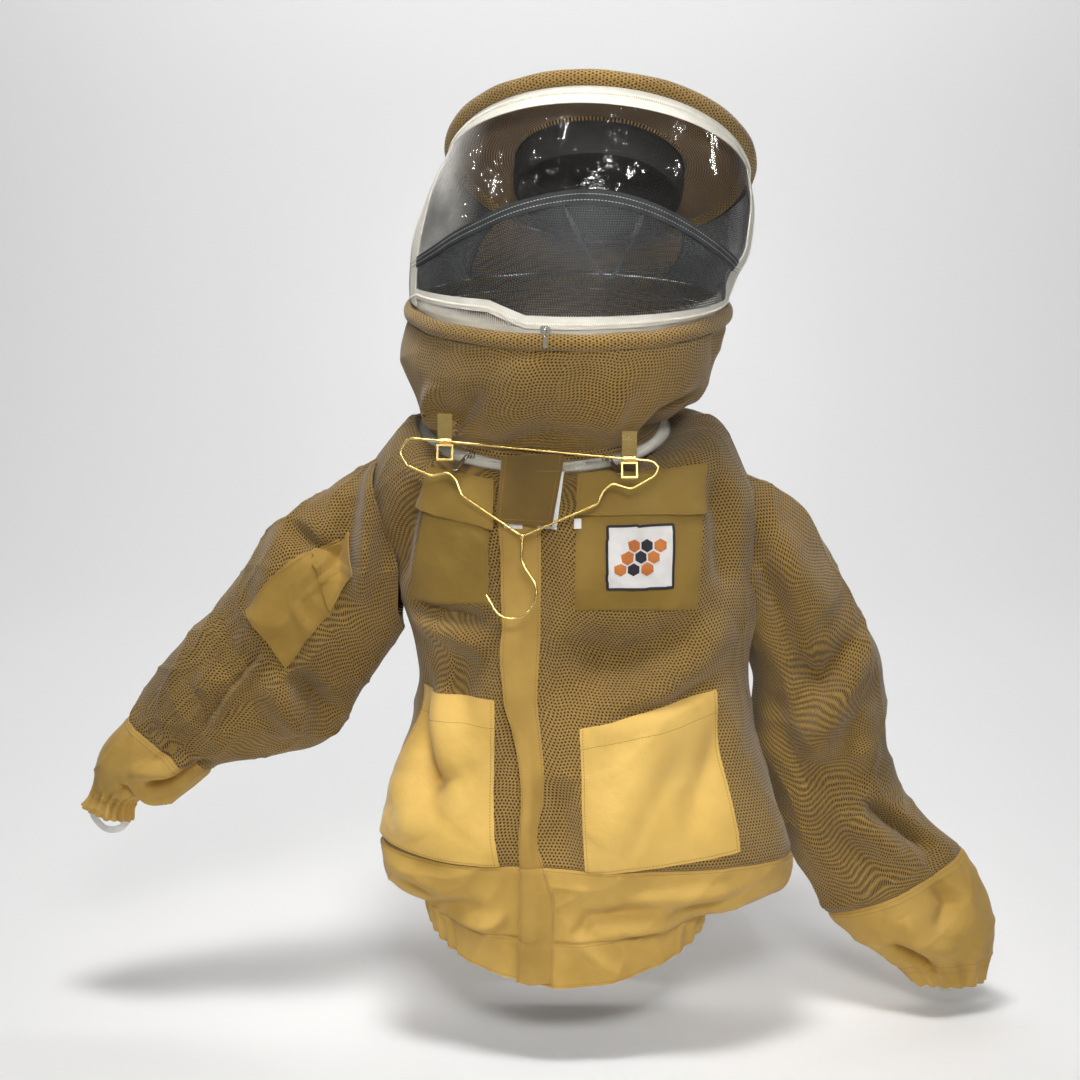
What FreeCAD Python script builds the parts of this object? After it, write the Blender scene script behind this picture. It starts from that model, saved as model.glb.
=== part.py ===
import FreeCAD
import Part
import bisect
import functools
import math
import os

from FreeCAD import Matrix, Rotation, Vector

# Ventilated beekeeping jacket with a round zip-on hood, hung by its neck loop, with a clip hanger on the hood.
# Millimetres. +Z up, the wearer faces -Y, +X is the wearer's left.
# The origin is the top of the hanging loop at the nape.

# ---- Driving dimensions ----
MESH = 5.0            # three-layer ventilated mesh cloth
COTTON = 1.6          # woven cotton for pockets, cuffs and the waist
TAPE = 1.4            # zip tape, webbing and binding
GAP = 0.8             # clear space between pieces that lie on each other
PVC = 1.0             # clear visor window
SCREEN = 1.2          # black woven screen
NECK = dict(c=(-30.0, -122.0, -16.0), r=130.0, tilt=-16.0, roll=0.0)
LOW_HOOP = dict(c=(-3.0, -135.0, 118.0), r=178.0, tilt=-11.0, roll=0.0)
TOP_HOOP = dict(c=(33.0, -120.0, 283.0), r=168.0, tilt=26.0, roll=5.0)
HOOP_COVER_R = 9.0    # outside radius of the cloth roll round a hoop
HOOP_WIRE_R = 2.0
HEAD_R = 98.0         # opening of the hat inside the hood
CROWN_H = 26.0
VISOR_HALF = 84.0     # degrees of the hood that the visor covers, each side of the front
ZIP_TOP = Vector(-56, -250, -84)      # the front zip is straight between these ends
ZIP_END = Vector(-47, -257.5, -630)
PLACKET_HALF = 22.0
PLACKET_OFF = 9.0     # the placket stands this far off the body, clear of the zip slider
PLACKET_BULGE = 4.5   # and this much more at its free edge, where the body falls back from the straight zip
BULGE_Z, BULGE_LONG = -320, 110       # the middle of that stretch, and how long it is

# Rings of the body from hem to neck: centre x, half width, front y, back y, z at -X, z at +X, z front, z back,
# squareness, and how z runs from the side to the front and back.
BODY_RINGS = [
    (-3, 160, -257, -30, -590, -590, -641, -600, 2.2, 2),
    (-3, 168, -257, -24, -550, -550, -590, -556, 2.2, 2),
    (15, 226, -256, -4, -530, -545, -549, -540, 2.4, 2),
    (17, 235, -255, 2, -490, -515, -503, -505, 2.4, 2),
    (15, 216, -254, 2, -430, -430, -430, -430, 2.4, 2),
    (18, 195, -252.5, 0, -320, -320, -312, -320, 2.4, 2),
    (8, 206, -251.5, 2, -205, -205, -198, -200, 2.4, 2),
    (-8, 219, -250.5, 6, -110, -110, -112, -100, 2.3, 2),
    (-14, 208, -249.5, 8, -52, -48, -85, -45, 2.2, 2),
    (-12, 172, -248.5, 8, -2, -2, -67, -6, 2.1, 1.1),
    (-30, 138, -247, 11.5, -23, -23, -58.5, 10, 2.0, 1),
]
BAND_TOP, WAIST, NECK_END = 1, 3, 10

# Sleeve stations from armhole to wrist: centre x, y, z, direction of the top edge in the XZ plane, half width
# and half depth.
RIGHT_SLEEVE = [
    (-196, -116, -141, 90, 103, 55),
    (-239, -114, -173, 113, 97, 57),
    (-294, -108, -224, 115, 112, 58),
    (-342, -104, -295, 118, 110, 56),
    (-414, -100, -341, 121, 82, 54),
    (-446, -98, -368, 131, 71, 50),
    (-479, -96, -402, 143, 57, 46),
    (-519, -94, -436, 140, 52, 42),
    (-549, -92, -464, 165, 27, 25),
    (-557, -92, -488, 164, 30, 27),
]
LEFT_SLEEVE = [
    (197, -112, -163, 90, 96, 54),
    (240, -104, -190, 64, 80, 56),
    (279, -96, -268, 40, 74, 58),
    (300, -92, -338, 26, 84, 58),
    (306, -92, -412, 15, 74, 56),
    (329, -92, -478, 26, 76, 54),
    (364, -92, -530, 30, 80, 52),
    (398, -92, -572, 27, 88, 48),
    (434, -92, -630, 12, 80, 44),
    (458, -90, -672, 4, 56, 38),
    (468, -88, -700, 0, 44, 34),
]
SLEEVES = {"right": RIGHT_SLEEVE, "left": LEFT_SLEEVE}
RIGHT_CUFF, RIGHT_BAND, LEFT_CUFF, LEFT_BAND = 6, 8, 7, 9

# Rings of the hood skirt from neck to lower hoop: centre, half width, front depth, back depth, tilt.
SKIRT_RINGS = [
    (-30, -125.6, -3.5, 131, 131, 131, -16),
    (-19, -128, 10, 151, 132, 140, -14),
    (-14, -130, 28, 168, 152, 162, -13),
    (-15, -133, 70, 180, 170, 175, -12),
    (-4, -133.5, 108.5, 179, 179, 179, -11),
]
NECK_SLIDERS = (("right", -37), ("left", 30))    # angle round the neck ring from the front
LOOP_WIDE = 9         # thumb loops
PULL_LEAN = 68        # the neck sliders' pulls lie forward over the chest
FLAP_Y = -263.2       # the top flap hangs in this plane, in front of the placket
WIRE_R = 1.5          # hanger wire
BAR_RIGHT = Vector(61, -268, -41)     # the hanger's bar at the clip on the wearer's left
BAR_YAW, BAR_FALL = -0.1, -0.087      # rise of y and z per millimetre of x along the bar
HANGER_LEAN = 0.2     # how far the hanger leans forward per millimetre below its bar
# Where each clip sits along X, how far it pulls the cloth forward, and how wide.
CLIP_PULLS = [(-138, 31.0, 38.0), (61, 19.0, 30.0)]


# ---- Curves and surfaces ----
def along(rows, t):
    """The row at parameter t of a smooth curve through all rows."""
    last = len(rows) - 1
    i = max(0, min(last - 1, int(math.floor(t))))
    f = t - i
    p1, p2 = rows[i], rows[i + 1]
    p0 = rows[i - 1] if i > 0 else [2 * a - b for a, b in zip(p1, p2)]
    p3 = rows[i + 2] if i + 2 <= last else [2 * b - a for a, b in zip(p1, p2)]
    out = []
    for a, b, c, d in zip(p0, p1, p2, p3):
        out.append(b + 0.5 * f * (c - a + f * (2 * a - 5 * b + 4 * c - d + f * (3 * (b - c) + d - a))))
    return out


def body_point(angle, t):
    """Outside of the jacket body: angle 0 is +X, 90 the front; t runs from 0 at the hem to 10 at the neck."""
    cx, a, front, back, z_neg, z_pos, z_front, z_back, n, e = along(BODY_RINGS, t)
    c, s = math.cos(math.radians(angle)), math.sin(math.radians(angle))
    k = (abs(c) ** n + abs(s) ** n) ** (-1 / n)
    x = cx + a * k * c
    y = (front + back) / 2 - (back - front) / 2 * k * s
    side = (z_neg + z_pos) / 2 + (z_pos - z_neg) / 2 * c
    end = z_front if s > 0 else z_back
    return Vector(x, y, side + (end - side) * abs(s) ** e)


def body_at(x, z):
    """Angle and t of the point on the body's front that stands at x and z."""
    angle, t = 90.0, 5.0
    for _ in range(60):
        p = body_point(angle, t)
        if abs(p.x - x) + abs(p.z - z) < 1e-4:
            break
        da = (body_point(angle + 0.1, t) - p) * 10
        dt = (body_point(angle, t + 0.001) - p) * 1000
        det = da.x * dt.z - dt.x * da.z
        ex, ez = x - p.x, z - p.z
        angle += max(-15, min(15, (ex * dt.z - dt.x * ez) / det))
        t += max(-1, min(1, (da.x * ez - ex * da.z) / det))
        angle, t = max(20, min(160, angle)), max(0, min(10, t))
    return angle, t


def sleeve_point(stations, angle, t, inset=0.0):
    """Outside of a sleeve, or a line inset from it: angle 0 is its top edge, 90 the front."""
    cx, cy, cz, lean, p, q = along(stations, t)
    p, q = p - inset, q - inset
    c, s = math.cos(math.radians(angle)), math.sin(math.radians(angle))
    d = Vector(math.cos(math.radians(lean)), 0, math.sin(math.radians(lean)))
    return Vector(cx, cy, cz) + d * (p * c) - Vector(0, q * s, 0)


def ring_matrix(ring):
    """Places a ring's own frame, Z along its axis and -Y to the front, in the row frame."""
    m = Matrix()
    m.rotateX(math.radians(-ring["tilt"]))
    m.rotateY(math.radians(ring["roll"]))
    m.move(Vector(*ring["c"]))
    return m


def ring_point(ring, angle, radius, height):
    a = math.radians(angle)
    return ring_matrix(ring).multVec(Vector(radius * math.sin(a), -radius * math.cos(a), height))


def skirt_point(angle, t):
    """Outside of the hood skirt: angle 0 is the front, 90 is +X; t is 0 at the neck and 4 at the hoop."""
    cx, cy, cz, rx, r_front, r_back, tilt = along(SKIRT_RINGS, t)
    a = math.radians(angle)
    depth = r_front if math.cos(a) > 0 else r_back
    ring = dict(c=(cx, cy, cz), tilt=tilt, roll=0.0)
    p = ring_matrix(ring).multVec(Vector(rx * math.sin(a), -depth * math.cos(a), 0))
    if math.cos(a) > 0:
        for clip_x, pull, wide in CLIP_PULLS:
            near = math.exp(-((p.x - clip_x) / wide) ** 2) * math.exp(-((t - 1.0) / 0.7) ** 2)
            p.y -= pull * near
    return p


def visor_point(angle, v, bulge=16.0):
    """Outside of the hood between the hoops: angle 0 is the front, v 0 the lower hoop and 1 the upper one."""
    low = ring_point(LOW_HOOP, angle, LOW_HOOP["r"], HOOP_COVER_R + GAP)
    top = ring_point(TOP_HOOP, angle, TOP_HOOP["r"], -HOOP_COVER_R - GAP)
    a = math.radians(angle)
    out = Vector(math.sin(a), -math.cos(a), 0)
    return low + (top - low) * v + out * (bulge * math.sin(math.pi * min(1, max(0, v))))


def binding_v(angle):
    """Height of the seam between screen and window, as a share of the visor."""
    return 0.24 + 0.31 * math.cos(math.radians(angle)) ** 2


def lifted(angle):
    """Share of the visor by which its unzipped lower edge stands above the lower hoop."""
    s = min(1, max(0, (-angle - 16) / 14))
    e = min(1, max(0, (angle + 84) / 14))
    return 0.015 + 0.055 * s * e


def thick(point, u0, u1, v0, v1, inside, outside, nu=9, nv=9, flip=1):
    """A solid sheet on the surface point(u, v), from inside to outside millimetres along its normal."""
    def at(u, v, off):
        p = point(u, v)
        hu, hv = (u1 - u0) * 1e-4, (v1 - v0) * 1e-4
        du = point(u + hu, v) - point(u - hu, v)
        dv = point(u, v + hv) - point(u, v - hv)
        n = du.cross(dv)
        n.normalize()
        return p + n * (off * flip)

    us = [u0 + (u1 - u0) * i / (nu - 1) for i in range(nu)]
    vs = [v0 + (v1 - v0) * j / (nv - 1) for j in range(nv)]
    faces, rims = [], []
    for off in (inside, outside):
        surface = Part.BSplineSurface()
        surface.interpolate([[at(u, v, off) for v in vs] for u in us])
        a, b, c, d = surface.bounds()
        faces.append(surface.toShape())
        rims.append([surface.uIso(a).toShape(), surface.uIso(b).toShape(),
                     surface.vIso(c).toShape(), surface.vIso(d).toShape()])
    faces += [Part.makeRuledSurface(e, f, 1) for e, f in zip(*rims)]
    skin = Part.makeCompound(faces)
    skin.sewShape(0.01)
    solid = Part.makeSolid(Part.makeShell(skin.Faces))
    return solid if solid.Volume > 0 else solid.reversed()


def zip_x(z):
    return ZIP_TOP.x + (ZIP_END.x - ZIP_TOP.x) * (z - ZIP_TOP.z) / (ZIP_END.z - ZIP_TOP.z)


def angle_beside_zip(t, shift):
    """Angle of the body point at t that lies shift millimetres to the +X side of the front zip."""
    low, high = 60.0, 150.0
    for _ in range(30):
        mid = (low + high) / 2
        p = body_point(mid, t)
        if p.x > zip_x(p.z) + shift:
            low = mid
        else:
            high = mid
    return (low + high) / 2


def outside_body(p):
    """Whether p is outside the body's cross-section through it."""
    t, shape = 6.0, 0.0
    for _ in range(14):
        cx, a, front, back, _, _, _, _, n, _ = along(BODY_RINGS, t)
        dx, dy = (p.x - cx) / a, ((front + back) / 2 - p.y) / ((back - front) / 2)
        angle = math.degrees(math.atan2(dy, dx))
        shape = abs(dx) ** n + abs(dy) ** n
        slope = (body_point(angle, t + 0.01).z - body_point(angle, t - 0.01).z) / 0.02
        t = max(3.0, min(9.4, t + (p.z - body_point(angle, t).z) / slope))
    return shape > 1


@functools.cache
def armhole_t(side, angle):
    """Station at which both faces of the sleeve's cloth at this angle have left the body."""
    stations = SLEEVES[side]
    found = 0.0
    for inset in (0.0, MESH):
        low, high = 0.0, 2.0
        for _ in range(22):
            mid = (low + high) / 2
            if outside_body(sleeve_point(stations, angle, mid, inset)):
                high = mid
            else:
                low = mid
        found = max(found, high)
    return found + 0.05


# ---- Solids ----
def group(*solids):
    return Part.makeCompound(list(solids))


def save(name, shape):
    shape.exportStep(f"parts/{name}.step")
    print(name, len(shape.Solids), "valid" if shape.isValid() else "NOT VALID")


def between(a, b, s):
    return a + (b - a) * s


def patch(surface, corners, inside, outside, flip=1, nu=9, nv=11):
    """A sheet with four corners, (u, v) on a surface: lower left, lower right, upper right, upper left."""
    (a0, b0), (a1, b1), (a2, b2), (a3, b3) = corners

    def point(u, v):
        a = between(between(a0, a1, u), between(a3, a2, u), v)
        b = between(between(b0, b1, u), between(b3, b2, u), v)
        return surface(a, b)

    return thick(point, 0, 1, 0, 1, inside, outside, nu, nv, flip)


def chest_patch(corners, inside, outside):
    """A sheet on the body's front with its corners given as x and z."""
    return patch(lambda x, z: body_point(*body_at(x, z)), corners, inside, outside)


def tube(surface, v0, v1, thickness, flip, nu=9, nv=11):
    """A cloth tube in two halves, its thickness laid inwards."""
    halves = [thick(surface, u, u + 180, v0, v1, -thickness, 0, nu, nv, flip) for u in (0, 180)]
    return group(*halves)


def bent_rod(points, radius, bend):
    """A round wire along straight runs joined by arcs."""
    points = [Vector(*p) for p in points]
    edges, last = [], points[0]
    for before, here, after in zip(points, points[1:], points[2:]):
        d0, d1 = here - before, after - here
        room = 0.45 * min(d0.Length, d1.Length)
        d0.normalize()
        d1.normalize()
        half = d0.getAngle(d1) / 2
        cut = min(room, bend * math.tan(half))
        r = cut / math.tan(half)
        start, end = here - d0 * cut, here + d1 * cut
        side = d1 - d0
        side.normalize()
        middle = here + side * (r / math.cos(half) - r)
        edges += [Part.LineSegment(last, start).toShape(), Part.Arc(start, middle, end).toShape()]
        last = end
    edges.append(Part.LineSegment(last, points[-1]).toShape())
    profile = Part.Wire(Part.makeCircle(radius, points[0], points[1] - points[0]))
    return Part.Wire(edges).makePipeShell([profile], True, False)


def on_ring(ring, angle, shape):
    """Turns a shape made at the ring's front to an angle, and places it in the row frame."""
    turn = Matrix()
    turn.rotateZ(math.radians(angle))
    return shape.transformGeometry(ring_matrix(ring).multiply(turn))


def block(x, y, z, sx, sy, sz, rounding=0.0):
    """A box centred on x, y, z, with rounded edges where a radius is given."""
    b = Part.makeBox(sx, sy, sz, Vector(x - sx / 2, y - sy / 2, z - sz / 2))
    return b.makeFillet(rounding, b.Edges) if rounding else b


def band(ring, r0, r1, h0, h1, a0=-180, a1=180):
    """A flat hoop of tape: an upright band round the ring's axis between two angles."""
    start = Vector(0, -1, 0)
    wire = Part.makePolygon([start * r0 + Vector(0, 0, h0), start * r1 + Vector(0, 0, h0),
                             start * r1 + Vector(0, 0, h1), start * r0 + Vector(0, 0, h1),
                             start * r0 + Vector(0, 0, h0)])
    solid = Part.Face(wire).revolve(Vector(0, 0, 0), Vector(0, 0, 1), a1 - a0)
    return on_ring(ring, a0, solid)


# ---- The pieces ----
def front_half(shift, side_angle):
    """The body between a line beside the front zip and a side seam: u is 0 at the zip and 1 at the seam."""
    def point(u, t):
        return body_point(between(angle_beside_zip(t, shift), side_angle, u), t)
    return point


def evened(surface, angles, t0, t1):
    """The surface with t replaced by a share of its mean length from t0 to t1."""
    steps = 80
    lengths = [0.0]
    for i in range(steps):
        a, b = between(t0, t1, i / steps), between(t0, t1, (i + 1) / steps)
        lengths.append(lengths[-1] + sum((surface(u, b) - surface(u, a)).Length for u in angles))

    def point(u, v):
        want = v * lengths[-1]
        i = max(0, min(steps - 1, bisect.bisect_right(lengths, want) - 1))
        share = (want - lengths[i]) / (lengths[i + 1] - lengths[i])
        return surface(u, between(t0, t1, (i + share) / steps))

    return point


SEAM = 0.35           # half the gap at a seam, in degrees round the body or in steps along it over ten
ZIP_SLOT = 2.5        # half the gap between the front edges
RIGHT_FRONT = front_half(-ZIP_SLOT, 180 - SEAM)
LEFT_FRONT = front_half(ZIP_SLOT, SEAM)


def armhole(side):
    """The clear way through a shoulder for the arm, an elliptical hole along X."""
    rim = [sleeve_point(SLEEVES[side], a, armhole_t(side, a)) for a in (0, 90, 180, 270)]
    x, y, z = rim[0].x, (rim[1].y + rim[3].y) / 2, (rim[0].z + rim[2].z) / 2
    high, deep = (rim[0].z - rim[2].z) / 2 - MESH - 3, (rim[3].y - rim[1].y) / 2 - MESH - 3
    outline = [Vector(x - 90, y - deep * math.sin(math.radians(a)), z + high * math.cos(math.radians(a)))
               for a in range(0, 360, 15)]
    curve = Part.BSplineCurve()
    curve.interpolate(outline, PeriodicFlag=True)
    return Part.Face(Part.Wire(curve.toShape())).extrude(Vector(180, 0, 0))


def jacket_body():
    low, top = WAIST + SEAM / 10, NECK_END
    holes = [armhole("right"), armhole("left")]
    right = evened(RIGHT_FRONT, (0, 0.5, 1), low, top)
    left = evened(LEFT_FRONT, (0, 0.5, 1), low, top)
    behind = evened(body_point, (180, 225, 270), low, top)
    save("front_panel_right", thick(right, 0, 1, 0, 1, -MESH, 0, 15, 31, -1).cut(holes[0]))
    save("front_panel_left", thick(left, 0, 1, 0, 1, -MESH, 0, 15, 31, 1).cut(holes[1]))
    back = thick(behind, 180 + SEAM, 360 - SEAM, 0, 1, -MESH, 0, 21, 31, -1)
    save("back_panel", back.cut(holes[0]).cut(holes[1]))
    for name, v0, v1 in (("waist_panel", BAND_TOP, WAIST), ("hem_band", 0, BAND_TOP)):
        v0, v1 = v0 + SEAM / 20, v1 - SEAM / 20
        save(name + "_right", thick(RIGHT_FRONT, 0, 1, v0, v1, -COTTON, 0, 11, 9, -1))
        save(name + "_left", thick(LEFT_FRONT, 0, 1, v0, v1, -COTTON, 0, 11, 9, 1))
    save("waist_panel_back", thick(body_point, 180 + SEAM, 360 - SEAM, BAND_TOP + 0.02, WAIST - 0.02,
                                   -COTTON, 0, 15, 9, -1))
    save("hem_elastic", thick(body_point, 180 + SEAM, 360 - SEAM, 0.02, BAND_TOP - 0.02,
                              -2 * COTTON, 0, 15, 5, -1))


def front_opening():
    run = ZIP_END - ZIP_TOP
    length = run.Length
    turn = Rotation(Vector(0, 0, -1), run)
    strip = Part.makeBox(15, 2, length, Vector(-7.5, -1, -length))
    place = FreeCAD.Placement(ZIP_TOP, turn)
    save("front_zip", strip.transformGeometry(place.toMatrix()))
    slider = group(block(0, -2.9, -9, 9, 2.6, 16, 1.0), block(0, -3.0, -31, 6, 1.6, 26, 0.6))
    save("front_slider", slider.transformGeometry(place.toMatrix()))

    def strip_point(u, t):
        return body_point(angle_beside_zip(t, u), t)

    strip_point = evened(strip_point, (-PLACKET_HALF, PLACKET_HALF), 0.05, 8.9)

    def cover_point(u, v):
        p = strip_point(u, v)
        free = 0.5 - u / (2 * PLACKET_HALF)
        return p - Vector(0, PLACKET_BULGE * free * math.exp(-((p.z - BULGE_Z) / BULGE_LONG) ** 2), 0)

    cover = thick(cover_point, -PLACKET_HALF, PLACKET_HALF, 0, 1, PLACKET_OFF, PLACKET_OFF + COTTON, 5, 29)
    sewn = thick(strip_point, PLACKET_HALF - 4, PLACKET_HALF, 0, 1, GAP, PLACKET_OFF - 0.01, 3, 29)
    save("placket", group(cover, sewn))


def pockets():
    off = GAP, GAP + 2 * COTTON
    right = [(-186, -210), (-92, -204), (-89, -66), (-155, -56)]
    left = [(3, -209), (141, -211), (146, -53), (5, -62)]
    save("chest_pocket_right", chest_patch(right, *off))
    save("chest_pocket_left", chest_patch(left, *off))
    side = [(168, 3.35), (113.5, 3.08), (120.7, 5.0), (166, 5.05)]
    save("lower_pocket_right", patch(body_point, side, *off))
    save("lower_pocket_left", chest_patch([(16, -500), (181, -478), (166, -307), (9, -342)], *off))
    over = off[1] + GAP, off[1] + GAP + COTTON
    save("chest_flap_right", chest_patch([(-174, -101), (-85, -120), (-84, -67), (-156, -56)], *over))
    save("chest_flap_left", chest_patch([(3, -104), (146, -107), (147, -54), (6, -63)], *over))
    save("badge_patch", chest_patch([(38, -184), (110, -185), (110, -118), (38, -117)], *over))
    save("side_tag", chest_patch([(2, -118), (8, -118), (8, -109), (2, -109)], over[0], over[0] + 0.8))


def neck_closure():
    save("neck_zip_lower_half", band(NECK, NECK["r"] - 1.2, NECK["r"] + 1.2, -6, -1))
    save("neck_zip_upper_half", band(NECK, NECK["r"] - 1.2, NECK["r"] + 1.2, 1, 12))
    out = NECK["r"] + 1.2 + GAP
    for name, angle in NECK_SLIDERS:
        save("neck_slider_" + name, on_ring(NECK, angle, block(0, -out - 2.5, 4, 14, 5, 13, 1.2)))
        pull = block(0, 0, -15, 7, 2, 26, 0.8)
        pull.rotate(Vector(0, 0, 0), Vector(1, 0, 0), -PULL_LEAN)
        pull.translate(Vector(0, -out - 6.4, 7))
        save("neck_pull_" + name, on_ring(NECK, angle, pull))
    save("hanging_loop", bent_rod([(-16, 0, -34), (-16, 0, -1.2), (16, 0, -1.2), (16, 0, -34)], 1.2, 9))
    tabs = [block(-68, -262, -107, 16, 0.9, 16), block(-34, -262, -107, 14, 0.9, 16)]
    save("touch_fastener_tabs", group(*tabs))
    flap = [Vector(-83, 0, -101), Vector(-20, 0, -102), Vector(-10, 0, -38), Vector(-79, 0, -40)]
    wire = Part.makePolygon(flap + flap[:1])
    wire.translate(Vector(0, FLAP_Y, 0))
    save("top_flap", Part.Face(wire).extrude(Vector(0, -COTTON, 0)))


def flat_strap(path, width):
    """A flat elastic loop through points given as x, y, z, its width along Y."""
    def point(u, v):
        x, y, z = along(path, v)
        return Vector(x, y + u, z)
    return thick(point, -width / 2, width / 2, 0, len(path) - 1, 0, TAPE, 3, 4 * len(path) - 3)


def sleeve(side, stations, cuff, elastic, flip):
    def cloth(angle, s):
        start = armhole_t(side, angle)
        return sleeve_point(stations, angle, start + (cuff - 0.02 - start) * s)

    def plain(angle, t):
        return sleeve_point(stations, angle, t)

    end = len(stations) - 1
    save("sleeve_" + side, tube(cloth, 0, 1, MESH, flip))
    save("cuff_" + side, tube(plain, cuff + 0.02, elastic - 0.02, COTTON, flip))
    save("cuff_elastic_" + side, tube(plain, elastic + 0.02, end, 2 * COTTON, flip, 9, 5))


def sleeves():
    sleeve("right", RIGHT_SLEEVE, RIGHT_CUFF, RIGHT_BAND, -1)
    sleeve("left", LEFT_SLEEVE, LEFT_CUFF, LEFT_BAND, 1)
    right_loop = [(-577, -92, -476), (-576, -92, -493), (-562, -92, -508), (-545, -92, -507), (-535, -92, -495),
                  (-534, -92, -488)]
    left_loop = [(456, -88, -692), (457, -88, -702), (462, -88, -712), (474, -88, -712), (479, -88, -702),
                 (480, -88, -692)]
    save("thumb_loop_right", flat_strap(right_loop, LOOP_WIDE))
    save("thumb_loop_left", flat_strap(left_loop, LOOP_WIDE))

    def arm(angle, t):
        return sleeve_point(RIGHT_SLEEVE, angle, t)

    off = GAP + 2 * COTTON
    pocket = [(51.7, 2.94), (94.8, 2.87), (100.1, 1.72), (64, 1.2)]
    save("sleeve_pocket", patch(arm, pocket, GAP, off))
    flap = [(62, 1.66), (98, 1.78), (92, 1.1), (66, 0.95)]
    save("sleeve_flap", patch(arm, flap, off + GAP, off + GAP + COTTON))


def hood():
    save("hood_skirt", tube(skirt_point, 0, 3.98, MESH, 1, 25, 17))
    for name, ring in (("lower", LOW_HOOP), ("upper", TOP_HOOP)):
        roll = Part.makeTorus(ring["r"], HOOP_COVER_R).cut(Part.makeTorus(ring["r"], HOOP_WIRE_R + 0.1))
        save(name + "_hoop_cover", on_ring(ring, 0, roll))
    wires = [on_ring(ring, 0, Part.makeTorus(ring["r"], HOOP_WIRE_R)) for ring in (LOW_HOOP, TOP_HOOP)]
    save("hoop_wires", group(*wires))
    save("hood_back", thick(visor_point, 140, 220, 0, 1, -MESH, 0, 11, 7))
    sides = [thick(visor_point, a, b, 0, 1, -SCREEN, 0, 7, 7) for a, b in ((91, 139.5), (220.5, 269))]
    save("side_screens", group(*sides))
    inner = TOP_HOOP["r"] - HOOP_COVER_R - GAP
    save("brim", band(TOP_HOOP, HEAD_R, inner, -MESH / 2, MESH / 2))
    outer = Part.makeCone(HEAD_R - GAP, HEAD_R - 22, CROWN_H, Vector(0, 0, -MESH / 2))
    hollow = Part.makeCone(HEAD_R - GAP - MESH, HEAD_R - 22 - MESH, CROWN_H - MESH, Vector(0, 0, -MESH / 2))
    save("crown", on_ring(TOP_HOOP, 0, outer.cut(hollow)))
    save("headband", band(TOP_HOOP, HEAD_R - 10, HEAD_R - 2, -44, -MESH / 2 - GAP))
    strap = [(-8, -96, 236), (12, -108, 196), (42, -116, 152), (66, -110, 186), (84, -100, 226)]
    save("chin_strap", flat_strap(strap, 12))


def visor():
    half = VISOR_HALF
    edge, seam = 0.052, 0.022

    def part(low, high):
        def point(angle, s):
            return visor_point(angle, between(low(angle), high(angle), s))
        return point

    screen = part(lambda a: lifted(a) + edge + 0.004, lambda a: binding_v(a) - seam)
    binding = part(lambda a: binding_v(a) - seam + 0.004, lambda a: binding_v(a) + seam - 0.004)
    window = part(lambda a: binding_v(a) + seam, lambda a: 1 - edge - 0.004)
    tape_low = part(lifted, lambda a: lifted(a) + edge)
    tape_top = part(lambda a: 1 - edge, lambda a: 1.0)
    save("visor_screen", thick(screen, -half, half, 0, 1, -SCREEN, 0, 17, 7))
    save("screen_binding", thick(binding, -half, half, 0, 1, -1.5, 0.7, 17, 3))
    save("visor_window", thick(window, -half, half, 0, 1, -PVC, 0, 17, 9))
    tapes = [thick(tape, -half, half, 0, 1, -TAPE, 0, 17, 3) for tape in (tape_low, tape_top)]
    for side in (-1, 1):
        ends = sorted((side * (half + 0.2), side * (half + 6)))
        tapes.append(thick(visor_point, *ends, 0.02, 1.0, -TAPE, 0, 3, 9))
    save("visor_zip_tape", group(*tapes))
    save("hoop_zip_tape", band(LOW_HOOP, 171.0, 173.4, 8.4, 13.5, -95, 95))
    pull = group(block(0, -189, 15, 14, 4, 11, 1.0), block(0, -189.6, 3, 6, 1.6, 12, 0.5))
    save("visor_slider", on_ring(LOW_HOOP, -8, pull))


# ---- The clip hanger ----
def bar_point(x):
    """The hanger's bar at x."""
    return Vector(x, BAR_RIGHT.y + (x - BAR_RIGHT.x) * BAR_YAW, BAR_RIGHT.z + (x - BAR_RIGHT.x) * BAR_FALL)


def hang(x, z):
    """A point of the hanger's plane, which leans forward from its bar."""
    top = bar_point(x)
    return Vector(x, top.y - (top.z - z) * HANGER_LEAN, z)


def hanger():
    shoulders = [(-57, -122.3), (-120, -81), (-126, -65), (-134, -57), (-153, -61), (-179, -50), (-188, -36),
                 (-178, -20.5), (86, -43.3), (93, -50), (88, -59), (63, -73), (42, -67), (33, -76), (27, -89),
                 (-51, -122.8)]
    save("hanger_frame", bent_rod([hang(x, z) for x, z in shoulders], WIRE_R, 9))
    hook = [(-54, -124), (-55, -152), (-40, -174), (-38, -191), (-49, -207), (-65, -213), (-81, -207),
            (-93, -187)]
    joint = Part.makeSphere(3.4, hang(-54, -124))
    save("hanger_hook", bent_rod([hang(x, z) for x, z in hook], WIRE_R, 22).fuse(joint))


def open_frame(y, z_top, lean):
    """The square wire lever of a clip, hung from the bar."""
    side = block(0, y, z_top - 9, 18, 1.4, 18)
    lever = side.cut(block(0, y, z_top - 9, 14, 3, 14))
    lever.rotate(Vector(0, 0, 0), Vector(1, 0, 0), lean)
    return lever


def clip_half(y, tubes, lean):
    """One half of a pinch clip about its bar: jaw plate, tubes round the bar and lever."""
    half = block(0, y, 17, 16, 1, 26)
    for x0, wide in tubes:
        start = Vector(x0, 0, 0)
        ring = Part.makeCylinder(3.7, wide, start, Vector(1, 0, 0))
        ring = ring.fuse(Part.makeBox(wide, 1, 5, Vector(x0, y - 0.5, 0)))
        half = half.fuse(ring.fuse(Part.makeBox(wide, 1.4, 4, Vector(x0, y - 0.7, -5.5))))
    half = half.fuse(open_frame(y, -4.4, lean))
    return half.cut(Part.makeCylinder(2.7, 40, Vector(-20, 0, 0), Vector(1, 0, 0)))


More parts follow.
